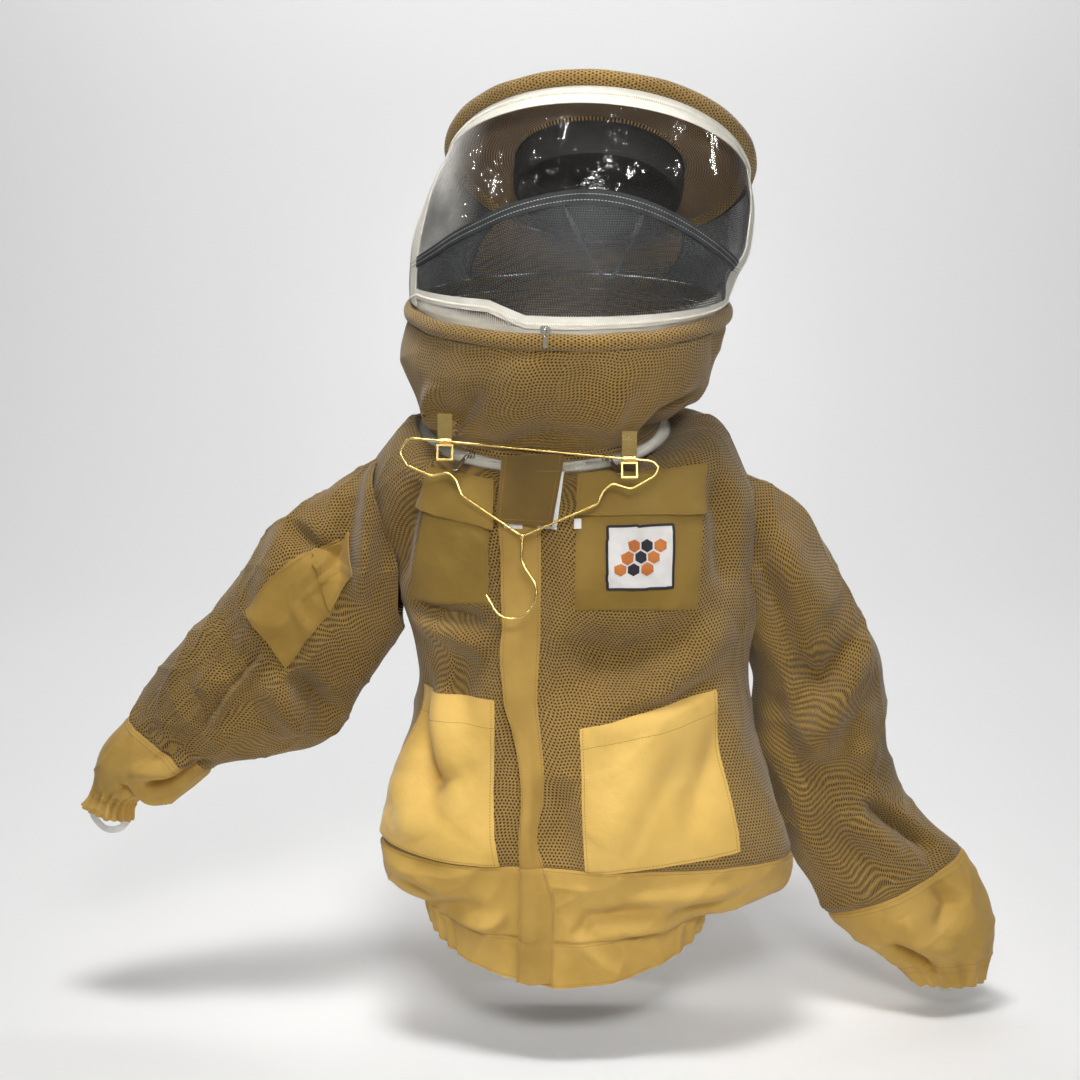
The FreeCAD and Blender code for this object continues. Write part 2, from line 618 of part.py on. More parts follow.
def clips():
    backs = []
    for name, x in (("right", -138), ("left", 61)):
        back = clip_half(2.3, [(-3, 6)], 0)
        front = clip_half(-2.3, [(-6.8, 3.2), (3.6, 3.2)], -22)
        for half in (back, front):
            half.translate(bar_point(x))
        backs.append(back)
        save("clip_front_" + name, front)
    save("clip_backs", group(*backs))


os.makedirs("parts", exist_ok=True)
jacket_body()
front_opening()
pockets()
neck_closure()
sleeves()
hood()
visor()
hanger()
clips()
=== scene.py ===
"""Looks of the beekeeping jacket: cloth, zips, screen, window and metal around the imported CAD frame."""
import math

import bpy
import numpy as np
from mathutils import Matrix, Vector


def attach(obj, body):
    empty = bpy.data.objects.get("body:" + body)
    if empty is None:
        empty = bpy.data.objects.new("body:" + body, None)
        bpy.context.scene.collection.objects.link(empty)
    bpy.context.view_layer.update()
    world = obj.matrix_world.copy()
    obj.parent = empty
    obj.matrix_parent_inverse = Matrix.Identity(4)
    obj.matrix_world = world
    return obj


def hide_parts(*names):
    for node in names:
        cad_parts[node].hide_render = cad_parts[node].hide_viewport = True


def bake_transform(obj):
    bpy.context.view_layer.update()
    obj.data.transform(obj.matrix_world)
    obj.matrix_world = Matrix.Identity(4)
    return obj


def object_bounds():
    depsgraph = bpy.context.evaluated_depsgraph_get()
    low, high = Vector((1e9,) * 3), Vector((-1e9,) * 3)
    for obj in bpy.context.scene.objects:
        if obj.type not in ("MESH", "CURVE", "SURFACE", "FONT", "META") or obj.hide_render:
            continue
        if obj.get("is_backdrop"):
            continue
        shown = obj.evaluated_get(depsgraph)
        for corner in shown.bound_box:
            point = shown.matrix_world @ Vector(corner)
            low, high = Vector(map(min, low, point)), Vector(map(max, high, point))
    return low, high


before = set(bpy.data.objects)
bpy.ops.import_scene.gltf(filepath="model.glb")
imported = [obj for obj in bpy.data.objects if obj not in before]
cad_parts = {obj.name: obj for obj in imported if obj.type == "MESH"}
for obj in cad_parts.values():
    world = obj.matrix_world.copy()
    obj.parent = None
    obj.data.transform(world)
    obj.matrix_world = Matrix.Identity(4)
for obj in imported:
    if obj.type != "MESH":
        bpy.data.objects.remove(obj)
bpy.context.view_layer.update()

# ---- Driving dimensions, in millimetres as in the CAD source ----
MM = 0.001
MESH, COTTON, GAP = 5.0, 1.6, 0.8
SEAM = 3.2              # from a patch's edge to its topstitching
NECK = dict(c=(-30.0, -122.0, -16.0), r=130.0, tilt=-16.0, roll=0.0)
LOW_HOOP = dict(c=(-3.0, -135.0, 118.0), r=178.0, tilt=-11.0, roll=0.0)
TOP_HOOP = dict(c=(33.0, -120.0, 283.0), r=168.0, tilt=26.0, roll=5.0)
ROLL_R = 9.0
HEAD_R, CROWN_H = 98.0, 26.0
VISOR_HALF = 84.0
ZIP_TOP, ZIP_END = (-56.0, -84.0), (-47.0, -630.0)
FOLD = 2.3            # depth of the larger folds
BODY_RINGS = [
    (-3, 160, -257, -30, -590, -590, -641, -600, 2.2, 2),
    (-3, 168, -257, -24, -550, -550, -590, -556, 2.2, 2),
    (15, 226, -256, -4, -530, -545, -549, -540, 2.4, 2),
    (17, 235, -255, 2, -490, -515, -503, -505, 2.4, 2),
    (15, 216, -254, 2, -430, -430, -430, -430, 2.4, 2),
    (18, 195, -252.5, 0, -320, -320, -312, -320, 2.4, 2),
    (8, 206, -251.5, 2, -205, -205, -198, -200, 2.4, 2),
    (-8, 219, -250.5, 6, -110, -110, -112, -100, 2.3, 2),
    (-14, 208, -249.5, 8, -52, -48, -85, -45, 2.2, 2),
    (-12, 172, -248.5, 8, -2, -2, -67, -6, 2.1, 1.1),
    (-30, 138, -247, 11.5, -23, -23, -58.5, 10, 2.0, 1),
]
BAND_TOP, WAIST, NECK_END = 1, 3, 10
RIGHT_SLEEVE = [
    (-196, -116, -141, 90, 103, 55),
    (-239, -114, -173, 113, 97, 57),
    (-294, -108, -224, 115, 112, 58),
    (-342, -104, -295, 118, 110, 56),
    (-414, -100, -341, 121, 82, 54),
    (-446, -98, -368, 131, 71, 50),
    (-479, -96, -402, 143, 57, 46),
    (-519, -94, -436, 140, 52, 42),
    (-549, -92, -464, 165, 27, 25),
    (-557, -92, -488, 164, 30, 27),
]
LEFT_SLEEVE = [
    (197, -112, -163, 90, 96, 54),
    (240, -104, -190, 64, 80, 56),
    (279, -96, -268, 40, 74, 58),
    (300, -92, -338, 26, 84, 58),
    (306, -92, -412, 15, 74, 56),
    (329, -92, -478, 26, 76, 54),
    (364, -92, -530, 30, 80, 52),
    (398, -92, -572, 27, 88, 48),
    (434, -92, -630, 12, 80, 44),
    (458, -90, -672, 4, 56, 38),
    (468, -88, -700, 0, 44, 34),
]
RIGHT_CUFF, RIGHT_BAND, LEFT_CUFF, LEFT_BAND = 6, 8, 7, 9
SKIRT_RINGS = [
    (-30, -125.6, -3.5, 131, 131, 131, -16),
    (-19, -128, 10, 151, 132, 140, -14),
    (-14, -130, 28, 168, 152, 162, -13),
    (-15, -133, 70, 180, 170, 175, -12),
    (-4, -133.5, 108.5, 179, 179, 179, -11),
]
CLIP_PULLS = [(-138, 31.0, 38.0), (61, 19.0, 30.0)]

# Larger folds seen from the front: the line in x and z, the half width, and the height, below 0 for a valley.
BODY_FOLDS = [
    ([(17, -337), (90, -300), (193, -237)], 30, 9), ([(-20, -246), (60, -272), (150, -232)], 26, -9),
    ([(-188, -214), (-150, -222), (-100, -226)], 9, -7), ([(-190, -232), (-140, -242), (-90, -262)], 16, 6),
    ([(-13, -400), (-8, -450), (-12, -500)], 20, -6), ([(-200, -470), (-160, -420), (-120, -400)], 16, -6),
    ([(-156, -290), (-142, -370), (-122, -450)], 15, 5),
    ([(-180, -290), (-168, -370), (-152, -440)], 15, -7.5), ([(-196, -420), (-165, -478)], 18, 5),
    ([(-120, -250), (-128, -300), (-118, -350)], 18, -4), ([(40, -330), (110, -318), (170, -292)], 9, -5),
    ([(120, -320), (70, -400), (30, -470)], 26, 6), ([(175, -330), (150, -400), (120, -470)], 18, -4),
    ([(-26, -120), (-20, -200), (-30, -260)], 14, -4), ([(160, -60), (172, -120), (178, -190)], 16, -9),
    ([(-172, -70), (-190, -130), (-200, -190)], 12, -7),
]
WAIST_FOLDS = [
    ([(-190, -520), (-150, -550), (-95, -548)], 9, -7), ([(-200, -505), (-150, -527)], 10, 6),
    ([(-150, -575), (-100, -572), (-70, -560)], 8, 5), ([(0, -590), (20, -560), (90, -548)], 9, -6),
    ([(10, -605), (60, -575), (120, -560)], 9, 6), ([(60, -540), (130, -530), (190, -535)], 10, 5),
    ([(100, -560), (160, -545), (215, -530)], 8, -6), ([(120, -580), (170, -565)], 8, 5),
]
RIGHT_FOLDS = [
    ([(-221, -60), (-226, -105), (-234, -175), (-247, -215)], 13, 11),
    ([(-250, -95), (-262, -150), (-268, -190)], 14, -6),
    ([(-191, -130), (-205, -229), (-217, -279)], 18, -2.5),
    ([(-333, -120), (-336, -175), (-353, -225), (-375, -280)], 17, 6),
    ([(-330, -130), (-295, -150), (-262, -168)], 13, -6),
    ([(-326, -299), (-300, -330), (-275, -362)], 14, -10),
    ([(-345, -300), (-330, -345), (-318, -380)], 20, 6),
    ([(-346, -272), (-392, -325), (-432, -384)], 3.4, 2.8),
    ([(-352, -268), (-398, -321), (-438, -380)], 2.2, -1.6), ([(-400, -300), (-430, -330)], 18, 4),
    ([(-505, -445), (-470, -442), (-440, -428), (-425, -412)], 8, -11),
    ([(-520, -425), (-480, -425), (-445, -408)], 9, 7), ([(-515, -462), (-475, -462), (-445, -445)], 9, 6),
    ([(-535, -440), (-522, -462)], 6, -7),
]
LEFT_FOLDS = [
    ([(354, -263), (316, -317), (281, -407)], 20, 10), ([(338, -262), (300, -312), (259, -289)], 17, -11),
    ([(190, -109), (228, -190), (259, -289)], 13, -7), ([(232, -130), (262, -190), (300, -240)], 20, 6),
    ([(240, -330), (262, -400), (285, -450)], 16, -5), ([(345, -335), (347, -426)], 16, 4),
    ([(351, -462), (395, -493), (435, -524)], 8, -9), ([(335, -478), (375, -512), (420, -545)], 15, 6),
    ([(290, -470), (330, -520), (380, -560)], 16, -4), ([(385, -640), (420, -655), (445, -680)], 7, -7),
    ([(440, -560), (455, -590), (440, -620)], 12, -5), ([(400, -600), (430, -640), (470, -650)], 14, 4),
]
SKIRT_FOLDS = [
    ([(72, -29), (101, 0), (150, 26)], 9, -8), ([(40, -18), (46, 12), (60, 40)], 12, 4),
    ([(-139, -20), (-118, 8), (-98, 34)], 8, -5), ([(-150, -15), (-158, 12), (-150, 40)], 9, 5),
    ([(-60, -40), (-20, -10), (30, 60)], 30, -5), ([(-100, -35), (-60, 20), (-40, 80)], 26, 4),
    ([(-10, -42), (-40, -28), (-70, -40)], 10, 3), ([(158, 96), (166, 60), (160, 30)], 8, -5),
]


# ---- Curves and surfaces ----
def arrays(*values):
    """Values as arrays of floats with one shape."""
    return np.broadcast_arrays(*(np.asarray(x, float) for x in values))


def peak(x, centre, wide, power=2):
    """1 at centre, falling off softly on both sides."""
    return np.exp(-((x - centre) / wide) ** power)


def along(rows, t):
    """Rows at parameters t of a smooth curve through all rows, one array for each column."""
    rows, t = np.asarray(rows, float), np.asarray(t, float)
    last = len(rows) - 1
    ext = np.vstack([2 * rows[0] - rows[1], rows, 2 * rows[-1] - rows[-2]])
    i = np.clip(np.floor(t).astype(int), 0, last - 1)
    f = (t - i)[..., None]
    p0, p1, p2, p3 = ext[i], ext[i + 1], ext[i + 2], ext[i + 3]
    out = p1 + 0.5 * f * (p2 - p0 + f * (2 * p0 - 5 * p1 + 4 * p2 - p3 + f * (3 * (p1 - p2) + p3 - p0)))
    return np.moveaxis(out, -1, 0)


def body_raw(angle, t):
    """Outside of the jacket body: angle 0 is +X, 90 the front; t runs from 0 at the hem to 10 at the neck."""
    angle, t = arrays(angle, t)
    cx, a, front, back, z_neg, z_pos, z_front, z_back, n, e = along(BODY_RINGS, t)
    c, s = np.cos(np.radians(angle)), np.sin(np.radians(angle))
    k = (np.abs(c) ** n + np.abs(s) ** n) ** (-1 / n)
    side = (z_neg + z_pos) / 2 + (z_pos - z_neg) / 2 * c
    end = np.where(s > 0, z_front, z_back)
    y = (front + back) / 2 - (back - front) / 2 * k * s
    return np.stack([cx + a * k * c, y, side + (end - side) * np.abs(s) ** e], -1)


def sleeve_raw(stations):
    """A sleeve's outside as a function of the angle round it and t along its stations."""
    def point(angle, t):
        angle, t = arrays(angle, t)
        cx, cy, cz, lean, p, q = along(stations, t)
        c, s = np.cos(np.radians(angle)), np.sin(np.radians(angle))
        lean = np.radians(lean)
        return np.stack([cx + np.cos(lean) * p * c, cy - q * s, cz + np.sin(lean) * p * c], -1)
    return point


def ring_point(ring, angle, radius, height):
    """A point in a ring's own frame, angle 0 at the front, placed in the row frame."""
    angle, radius, height = arrays(angle, radius, height)
    a = np.radians(angle)
    x, y, z = radius * np.sin(a), -radius * np.cos(a), height
    tilt, roll = -math.radians(ring["tilt"]), math.radians(ring["roll"])
    y, z = y * math.cos(tilt) - z * math.sin(tilt), y * math.sin(tilt) + z * math.cos(tilt)
    x, z = x * math.cos(roll) + z * math.sin(roll), -x * math.sin(roll) + z * math.cos(roll)
    cx, cy, cz = ring["c"]
    return np.stack([x + cx, y + cy, z + cz], -1)


def skirt_raw(angle, t):
    """Outside of the cloth between the neck zip and the lower hoop, with the clips' pulls."""
    angle, t = arrays(angle, t)
    cx, cy, cz, rx, front, back, tilt = along(SKIRT_RINGS, t)
    a, lean = np.radians(angle), -np.radians(tilt)
    depth = np.where(np.cos(a) > 0, front, back)
    y = -depth * np.cos(a)
    p = np.stack([cx + rx * np.sin(a), cy + y * np.cos(lean), cz + y * np.sin(lean)], -1)
    for clip_x, pull, wide in CLIP_PULLS:
        near = peak(p[..., 0], clip_x, wide) * peak(t, 1, 0.7)
        p[..., 1] -= pull * near * (np.cos(a) > 0)
    return p


def visor_raw(angle, v, bulge=16.0):
    """Outside of the hood between the hoops: angle 0 is the front, v 0 the lower hoop and 1 the upper one."""
    angle, v = arrays(angle, v)
    low = ring_point(LOW_HOOP, angle, LOW_HOOP["r"], ROLL_R + GAP)
    top = ring_point(TOP_HOOP, angle, TOP_HOOP["r"], -ROLL_R - GAP)
    a = np.radians(angle)
    out = np.stack([np.sin(a), -np.cos(a), 0 * a], -1)
    return low + (top - low) * v[..., None] + out * (bulge * np.sin(np.pi * np.clip(v, 0, 1)))[..., None]


def binding_v(angle):
    """Height of the binding between screen and window."""
    return 0.24 + 0.31 * np.cos(np.radians(angle)) ** 2


def lifted(angle):
    """Height of the visor's lower edge, which is unzipped at the wearer's right."""
    s, e = np.clip((-angle - 16) / 14, 0, 1), np.clip((angle + 84) / 14, 0, 1)
    return 0.015 + 0.055 * s * e


# ---- Folds ----
def step(x):
    """0 below 0 and 1 above 1, with a soft way between."""
    x = np.clip(x, 0, 1)
    return x * x * (3 - 2 * x)


def ridge(p, line, wide, high, sharp=2.0):
    """A fold along a line of (x, z) points, seen from the front: high is its height, below 0 for a valley."""
    best, share = np.full(p.shape[:-1], 1e9), np.zeros(p.shape[:-1])
    line = np.asarray(line, float)
    lengths = np.hypot(*(line[1:] - line[:-1]).T)
    done = 0.0
    for a, b, length in zip(line, line[1:], lengths):
        d = (b - a) / length
        dx, dz = p[..., 0] - a[0], p[..., 2] - a[1]
        s = np.clip(dx * d[0] + dz * d[1], 0, length)
        dist = np.hypot(dx - d[0] * s, dz - d[1] * s)
        share = np.where(dist < best, (done + s) / lengths.sum(), share)
        best = np.minimum(best, dist)
        done += length
    ends = 1 - np.abs(2 * share - 1) ** 3 * 0.85
    return high * ends * np.exp(-(best / wide) ** sharp)


def folds(p, table):
    return sum(ridge(p, line, wide, high) for line, wide, high in table)


def ripple(p, wave, high, seed):
    """Soft unevenness with about this wavelength."""
    rng = np.random.default_rng(seed)
    out = 0
    for _ in range(7):
        d = rng.normal(size=3)
        d *= 2 * np.pi / wave / np.linalg.norm(d) * rng.uniform(0.6, 1.4)
        out = out + np.sin(p @ d + rng.uniform(0, 6.28))
    return out * high / 2.6


def crumple(p, wave, high, seed):
    """Narrow creases that cross each other, about this far apart."""
    rng = np.random.default_rng(seed)
    bent = p + 0.22 * wave * np.sin(p[..., ::-1] * (2 * np.pi / wave / 1.7))
    out = 0
    for _ in range(4):
        d = rng.normal(size=3)
        d *= np.pi / wave / np.linalg.norm(d) * rng.uniform(0.7, 1.3)
        out = out + (1 - np.abs(np.sin(bent @ d + rng.uniform(0, 6.28)))) ** 4
    return out * high


def zip_x(z):
    return ZIP_TOP[0] + (ZIP_END[0] - ZIP_TOP[0]) * (z - ZIP_TOP[1]) / (ZIP_END[1] - ZIP_TOP[1])


def swell(p):
    """The front falls in above the lower pockets and bellies out over the waist, except along the zip."""
    beside = 1 - peak(p[..., 0], zip_x(p[..., 2]), 48)
    return beside * (17 * peak(p[..., 2], -495, 80) - 15 * peak(p[..., 2], -275, 62))


def body_relief(p, angle, t):
    front = step((-p[..., 1] - 130) / 70)
    h = ripple(p, 150, 3.0, 1) + ripple(p, 60, 0.9, 2) + front * swell(p)
    h = h + crumple(p, 90, 1.3 + 1.4 * step((3.2 - t) / 0.4), 31)
    h = h + FOLD * front * folds(p, BODY_FOLDS)
    puff = step((3.05 - t) / 0.9) * step((t - 0.9) / 0.5)
    h = h + 1.8 * puff * front * folds(p, WAIST_FOLDS)
    gather = np.where(np.abs(angle % 360 - 90) > 47, 1.0, 0.0)
    pleats = np.sin(np.radians(angle) * 46 + 1.2 * np.sin(np.radians(angle) * 5))
    h = h + gather * pleats * 2.0 * step((1.6 - t) / 0.9)
    h = h * (1 - front * peak(p[..., 0], zip_x(p[..., 2]), 26, 4))
    return h - 2.2 * peak(t, WAIST, 0.045) - 1.6 * peak(t, BAND_TOP, 0.05)


def right_relief(p, angle, t):
    front = step((-p[..., 1] - 100) / 40)
    h = ripple(p, 110, 2.6, 3) + ripple(p, 50, 0.8, 4) + crumple(p, 70, 2.4, 32)
    h = h + FOLD * front * folds(p, RIGHT_FOLDS)
    pleats = np.sin(np.radians(angle) * 17 + 0.8 * np.sin(np.radians(angle) * 3))
    return h + 2.4 * pleats * step((t - 7.4) / 0.8) - 1.8 * peak(t, RIGHT_CUFF, 0.06)


def left_relief(p, angle, t):
    front = step((-p[..., 1] - 95) / 40)
    h = ripple(p, 120, 2.8, 5) + ripple(p, 50, 0.8, 6) + crumple(p, 80, 2.4, 33)
    h = h + FOLD * front * folds(p, LEFT_FOLDS)
    pleats = np.sin(np.radians(angle) * 15 + 0.8 * np.sin(np.radians(angle) * 3))
    return h + 2.0 * pleats * step((t - 8.6) / 0.6) - 1.8 * peak(t, LEFT_CUFF, 0.06)


def skirt_relief(p, angle, t):
    front = step((-p[..., 1] - 150) / 60)
    h = ripple(p, 130, 2.4, 7) + ripple(p, 60, 0.7, 8) + crumple(p, 110, 1.4, 34)
    h = h + FOLD * front * folds(p, SKIRT_FOLDS)
    return h * step(t / 0.25) * step((4.05 - t) / 0.3)


def visor_relief(p, angle, v):
    h = ripple(p, 90, 1.0, 9) * np.sin(np.pi * np.clip(v, 0, 1))
    return h - 13 * (peak(angle, 76, 9) * peak(v, 0.22, 0.10))


class Skin:
    """A surface with its folds; off is measured outwards from it."""

    def __init__(self, raw, side, relief, du=0.15, dv=0.004):
        self.raw, self.side, self.relief, self.du, self.dv = raw, side, relief, du, dv

    def normal(self, f, u, v):
        n = np.cross(f(u + self.du, v) - f(u - self.du, v), f(u, v + self.dv) - f(u, v - self.dv))
        return self.side * n / np.maximum(np.linalg.norm(n, axis=-1, keepdims=True), 1e-12)

    def folded(self, u, v):
        p = self.raw(u, v)
        return p + self.normal(self.raw, u, v) * self.relief(p, u, v)[..., None]

    def __call__(self, u, v, off=0.0):
        u, v = arrays(u, v)
        return self.folded(u, v) + self.normal(self.folded, u, v) * np.asarray(off, float)[..., None]


BODY = Skin(body_raw, -1, body_relief)
RIGHT = Skin(sleeve_raw(RIGHT_SLEEVE), -1, right_relief)
LEFT = Skin(sleeve_raw(LEFT_SLEEVE), 1, left_relief)
SKIRT = Skin(skirt_raw, 1, skirt_relief)
VISOR = Skin(visor_raw, 1, visor_relief)


# ---- Materials ----
def rgb(r, g, b):
    """A screen colour from 0 to 255 as linear light."""
    return tuple((x / 255) ** 2.2 for x in (r, g, b)) + (1.0,)


class Shader:
    """A material under way: the principled shader and what feeds it."""

    def __init__(self, name, rough, **sockets):
        self.material = bpy.data.materials.new(name)
        self.material.use_nodes = True
        self.tree = self.material.node_tree
        self.out = self.tree.nodes["Principled BSDF"]
        self.out.inputs["Roughness"].default_value = rough
        for key, value in sockets.items():
            self.out.inputs[key.replace("_", " ")].default_value = value

    def add(self, kind, *inputs, **settings):
        """A node with its inputs linked or set in order. Returns its first output."""
        n = self.tree.nodes.new("ShaderNode" + kind)
        for key, value in settings.items():
            setattr(n, key, value)
        for socket, value in zip(n.inputs, inputs):
            self.plug(value, socket)
        return n.outputs[0]

    def plug(self, value, socket):
        """Links a node's output to a socket, or sets a plain value."""
        if isinstance(value, bpy.types.NodeSocket):
            self.tree.links.new(value, socket)
        else:
            socket.default_value = value

    def math(self, operation, *inputs):
        return self.add("Math", *inputs, operation=operation)

    def vector(self, operation, *inputs):
        n = self.tree.nodes.new("ShaderNodeVectorMath")
        n.operation = operation
        for socket, value in zip(n.inputs, inputs):
            self.plug(value, socket)
        return n.outputs["Value" if operation == "LENGTH" else "Vector"]

    def ramp(self, value, low, high, to_low=0.0, to_high=1.0):
        return self.add("MapRange", value, low, high, to_low, to_high)

    def blend(self, share, a, b):
        n = self.tree.nodes.new("ShaderNodeMix")
        n.data_type = "RGBA"
        for name, value in (("Factor_Float", share), ("A_Color", a), ("B_Color", b)):
            self.plug(value, next(s for s in n.inputs if s.identifier == name))
        return next(s for s in n.outputs if s.identifier == "Result_Color")

    def uv(self):
        """Distance along the cloth in millimetres."""
        return self.add("UVMap", uv_map="cloth")

    def split(self, vector):
        parts = self.tree.nodes.new("ShaderNodeSeparateXYZ")
        self.tree.links.new(vector, parts.inputs[0])
        return parts.outputs

    def noise(self, scale, detail=3.0):
        place = self.tree.nodes.new("ShaderNodeTexCoord").outputs["Object"]
        n = self.tree.nodes.new("ShaderNodeTexNoise")
        n.inputs["Scale"].default_value, n.inputs["Detail"].default_value = scale, detail
        self.tree.links.new(place, n.inputs["Vector"])
        return n.outputs["Fac"]

    def feed(self, name, value):
        self.tree.links.new(value, self.out.inputs[name])

    def bump(self, height, strength, distance):
        n = self.tree.nodes.new("ShaderNodeBump")
        n.inputs["Strength"].default_value, n.inputs["Distance"].default_value = strength, distance
        self.tree.links.new(height, n.inputs["Height"])
        self.feed("Normal", n.outputs["Normal"])


def mesh_material(name, light, dark, hole_shade, pitch=4.2):
    """Three-layer mesh: rows of small round holes in a knitted face; the holes take a dark colour, painted
    shade in them.
    """
    s = Shader(name, 0.9, Sheen_Weight=0.25, Sheen_Roughness=0.5, Specular_IOR_Level=0.2)
    cell = (pitch, pitch * math.sqrt(3), 1)
    spots = []
    for shift in (0.0, 0.5):
        grid = s.vector("DIVIDE", s.uv(), cell)
        grid = s.vector("FRACTION", s.vector("ADD", grid, (shift, shift, 0)))
        from_middle = s.vector("SUBTRACT", grid, (0.5, 0.5, 0))
        spots.append(s.vector("LENGTH", s.vector("MULTIPLY", from_middle, cell)))
    far = s.math("MINIMUM", *spots)
    depth = s.ramp(far, 0.75, 1.5)
    cloth = s.blend(s.ramp(s.noise(9.0), 0.35, 0.65), dark, light)
    cloth = s.blend(s.ramp(s.noise(420.0, 2.0), 0.3, 0.75, 0.0, 0.35), cloth, rgb(200, 165, 95))
    # Inside the holes the colour goes to the dark hole colour: painted shade.
    s.feed("Base Color", s.blend(depth, hole_shade, cloth))
    s.bump(depth, 0.7, 0.0012)
    return s.material


def cotton_material(name, light, dark, rough=0.72):
    """Woven cotton twill with a slight sheen and faint creases."""
    s = Shader(name, rough, Sheen_Weight=0.2, Sheen_Roughness=0.4, Specular_IOR_Level=0.3)
    across, up, _ = s.split(s.uv())
    diagonal = s.math("ADD", across, s.math("MULTIPLY", up, 0.62))
    twill = s.math("SINE", s.math("MULTIPLY", diagonal, 6.2832 / 0.9))
    weave = s.math("ADD", s.math("MULTIPLY", twill, 0.25), s.noise(900.0, 2.0))
    cloth = s.blend(s.ramp(s.noise(14.0), 0.35, 0.65), dark, light)
    s.feed("Base Color", s.blend(s.ramp(weave, 0.2, 0.9, 0.0, 0.3), cloth, dark))
    broad = s.math("MULTIPLY", s.noise(20.0, 5.0), 6.0)
    creases = s.math("ADD", broad, s.math("MULTIPLY", s.noise(60.0, 4.0), 2.5))
    s.bump(s.math("ADD", creases, s.math("MULTIPLY", weave, 0.25)), 0.45, 0.0012)
    return s.material


def plain_material(name, light, dark, rough, grain=600.0, bump=0.2, **sockets):
    """Tape, webbing, foam and metal: two close tones and a fine grain."""
    s = Shader(name, rough, **sockets)
    s.feed("Base Color", s.blend(s.ramp(s.noise(grain / 12, 4.0), 0.35, 0.65), dark, light))
    s.bump(s.noise(grain, 3.0), bump, 0.0005)
    return s.material


def tape_material(name, light, dark):
    """Woven tape with fine ribs along it."""
    s = Shader(name, 0.7, Sheen_Weight=0.15)
    ribs = s.math("SINE", s.math("MULTIPLY", s.split(s.uv())[1], 6.2832 / 1.3))
    s.feed("Base Color", s.blend(s.ramp(s.noise(40.0), 0.3, 0.7), dark, light))
    s.bump(ribs, 0.4, 0.0004)
    return s.material


def screen_material(name, colour, pitch, thread, base):
    """Open screen: threads both ways, and clear between them."""
    s = Shader(name, 0.55, Base_Color=colour)
    grid = s.vector("FRACTION", s.vector("DIVIDE", s.uv(), (pitch, pitch, 1)))
    from_x, from_y, _ = s.split(s.vector("ABSOLUTE", s.vector("SUBTRACT", grid, (0.5, 0.5, 0))))
    thread_at = 0.5 - thread / pitch / 2
    across = s.math("MAXIMUM", from_x, from_y)
    s.feed("Alpha", s.ramp(across, thread_at - 0.04, thread_at + 0.04, base, 1.0))
    s.bump(across, 0.3, 0.0004)
    s.feed("Base Color", s.blend(s.ramp(s.noise(50.0), 0.3, 0.7), colour, rgb(58, 60, 60)))
    return s.material


def window_material(name):
    """Clear film with faint smears, and whitish painted light where it bends away at the wearer's right."""
    s = Shader(name, 0.05, Coat_Weight=1.0, Coat_Roughness=0.03, Specular_IOR_Level=1.0)
    patchy = s.ramp(s.noise(11.0, 4.0), 0.3, 0.6, 0.35, 1.0)
    # Painted light: a whitish, less clear patch towards the wearer's right, standing for the pale backdrop
    # seen through the side screens.
    painted_glare = s.math("MULTIPLY", s.ramp(s.split(s.uv())[0], -130, -205), patchy)
    clear = s.ramp(s.noise(16.0, 5.0), 0.4, 0.8, 0.07, 0.15)
    s.feed("Alpha", s.math("ADD", clear, s.math("MULTIPLY", painted_glare, 0.42)))
    s.feed("Base Color", s.blend(painted_glare, rgb(70, 68, 64), rgb(232, 228, 218)))
    s.bump(s.noise(26.0, 3.0), 0.8, 0.006)
    return s.material


KHAKI = mesh_material("mesh_khaki", rgb(152, 120, 62), rgb(126, 98, 48), rgb(40, 26, 8))
# The jacket's inner faces: a darker copy of the khaki mesh, painted shade inside the jacket.
KHAKI_INSIDE_SHADE = mesh_material("mesh_lining", rgb(110, 84, 52), rgb(92, 70, 42), rgb(40, 27, 14))
# The hood's inner faces: a lighter copy of the khaki mesh, brightened as painted light because little lamp
# light reaches inside the hood.
HOOD_INSIDE_PAINTED_LIGHT = mesh_material("hood_lining", rgb(190, 150, 98), rgb(168, 128, 80), rgb(70, 48, 26), 3.4)
GOLD = cotton_material("cotton_gold", rgb(200, 162, 84), rgb(178, 142, 68))
# A lighter copy of the gold cotton for the lower pockets: painted light where they bulge up towards the
# overhead lamp.
GOLD_POCKET_PAINTED_LIGHT = cotton_material("cotton_pocket", rgb(226, 186, 102), rgb(210, 170, 86))
# A darker copy of the gold cotton for the placket.
GOLD_DARKER = cotton_material("cotton_placket", rgb(186, 150, 76), rgb(164, 130, 62))
# A darker, olive copy of the gold cotton for the chest pockets and flaps: painted shade on the upper front.
CHEST_PAINTED_SHADE = cotton_material("cotton_olive", rgb(154, 124, 56), rgb(136, 108, 45))
# A darker, olive copy of the gold cotton for the sleeve pocket and flap: painted shade on the upper sleeve, a
# little lighter than the chest's.
SLEEVE_PAINTED_SHADE = cotton_material("cotton_sleeve", rgb(176, 140, 66), rgb(152, 120, 52))
BROWN = cotton_material("cotton_brown", rgb(118, 92, 38), rgb(98, 76, 30))
THREAD = plain_material("stitch_thread", rgb(160, 120, 52), rgb(138, 100, 40), 0.6)
OFF_WHITE = tape_material("zip_tape", rgb(228, 224, 212), rgb(214, 208, 192))
TEETH = plain_material("zip_teeth", rgb(232, 228, 216), rgb(220, 214, 198), 0.35)
WHITE = plain_material("white_elastic", rgb(236, 234, 230), rgb(222, 220, 214), 0.75)
BLACK_TRIM = plain_material("black_binding", rgb(44, 46, 46), rgb(28, 29, 30), 0.8, bump=0.5)
GREY_THREAD = plain_material("grey_thread", rgb(150, 152, 148), rgb(120, 122, 118), 0.6)
FOAM = plain_material("head_foam", rgb(34, 33, 35), rgb(22, 21, 23), 0.75, bump=0.6)
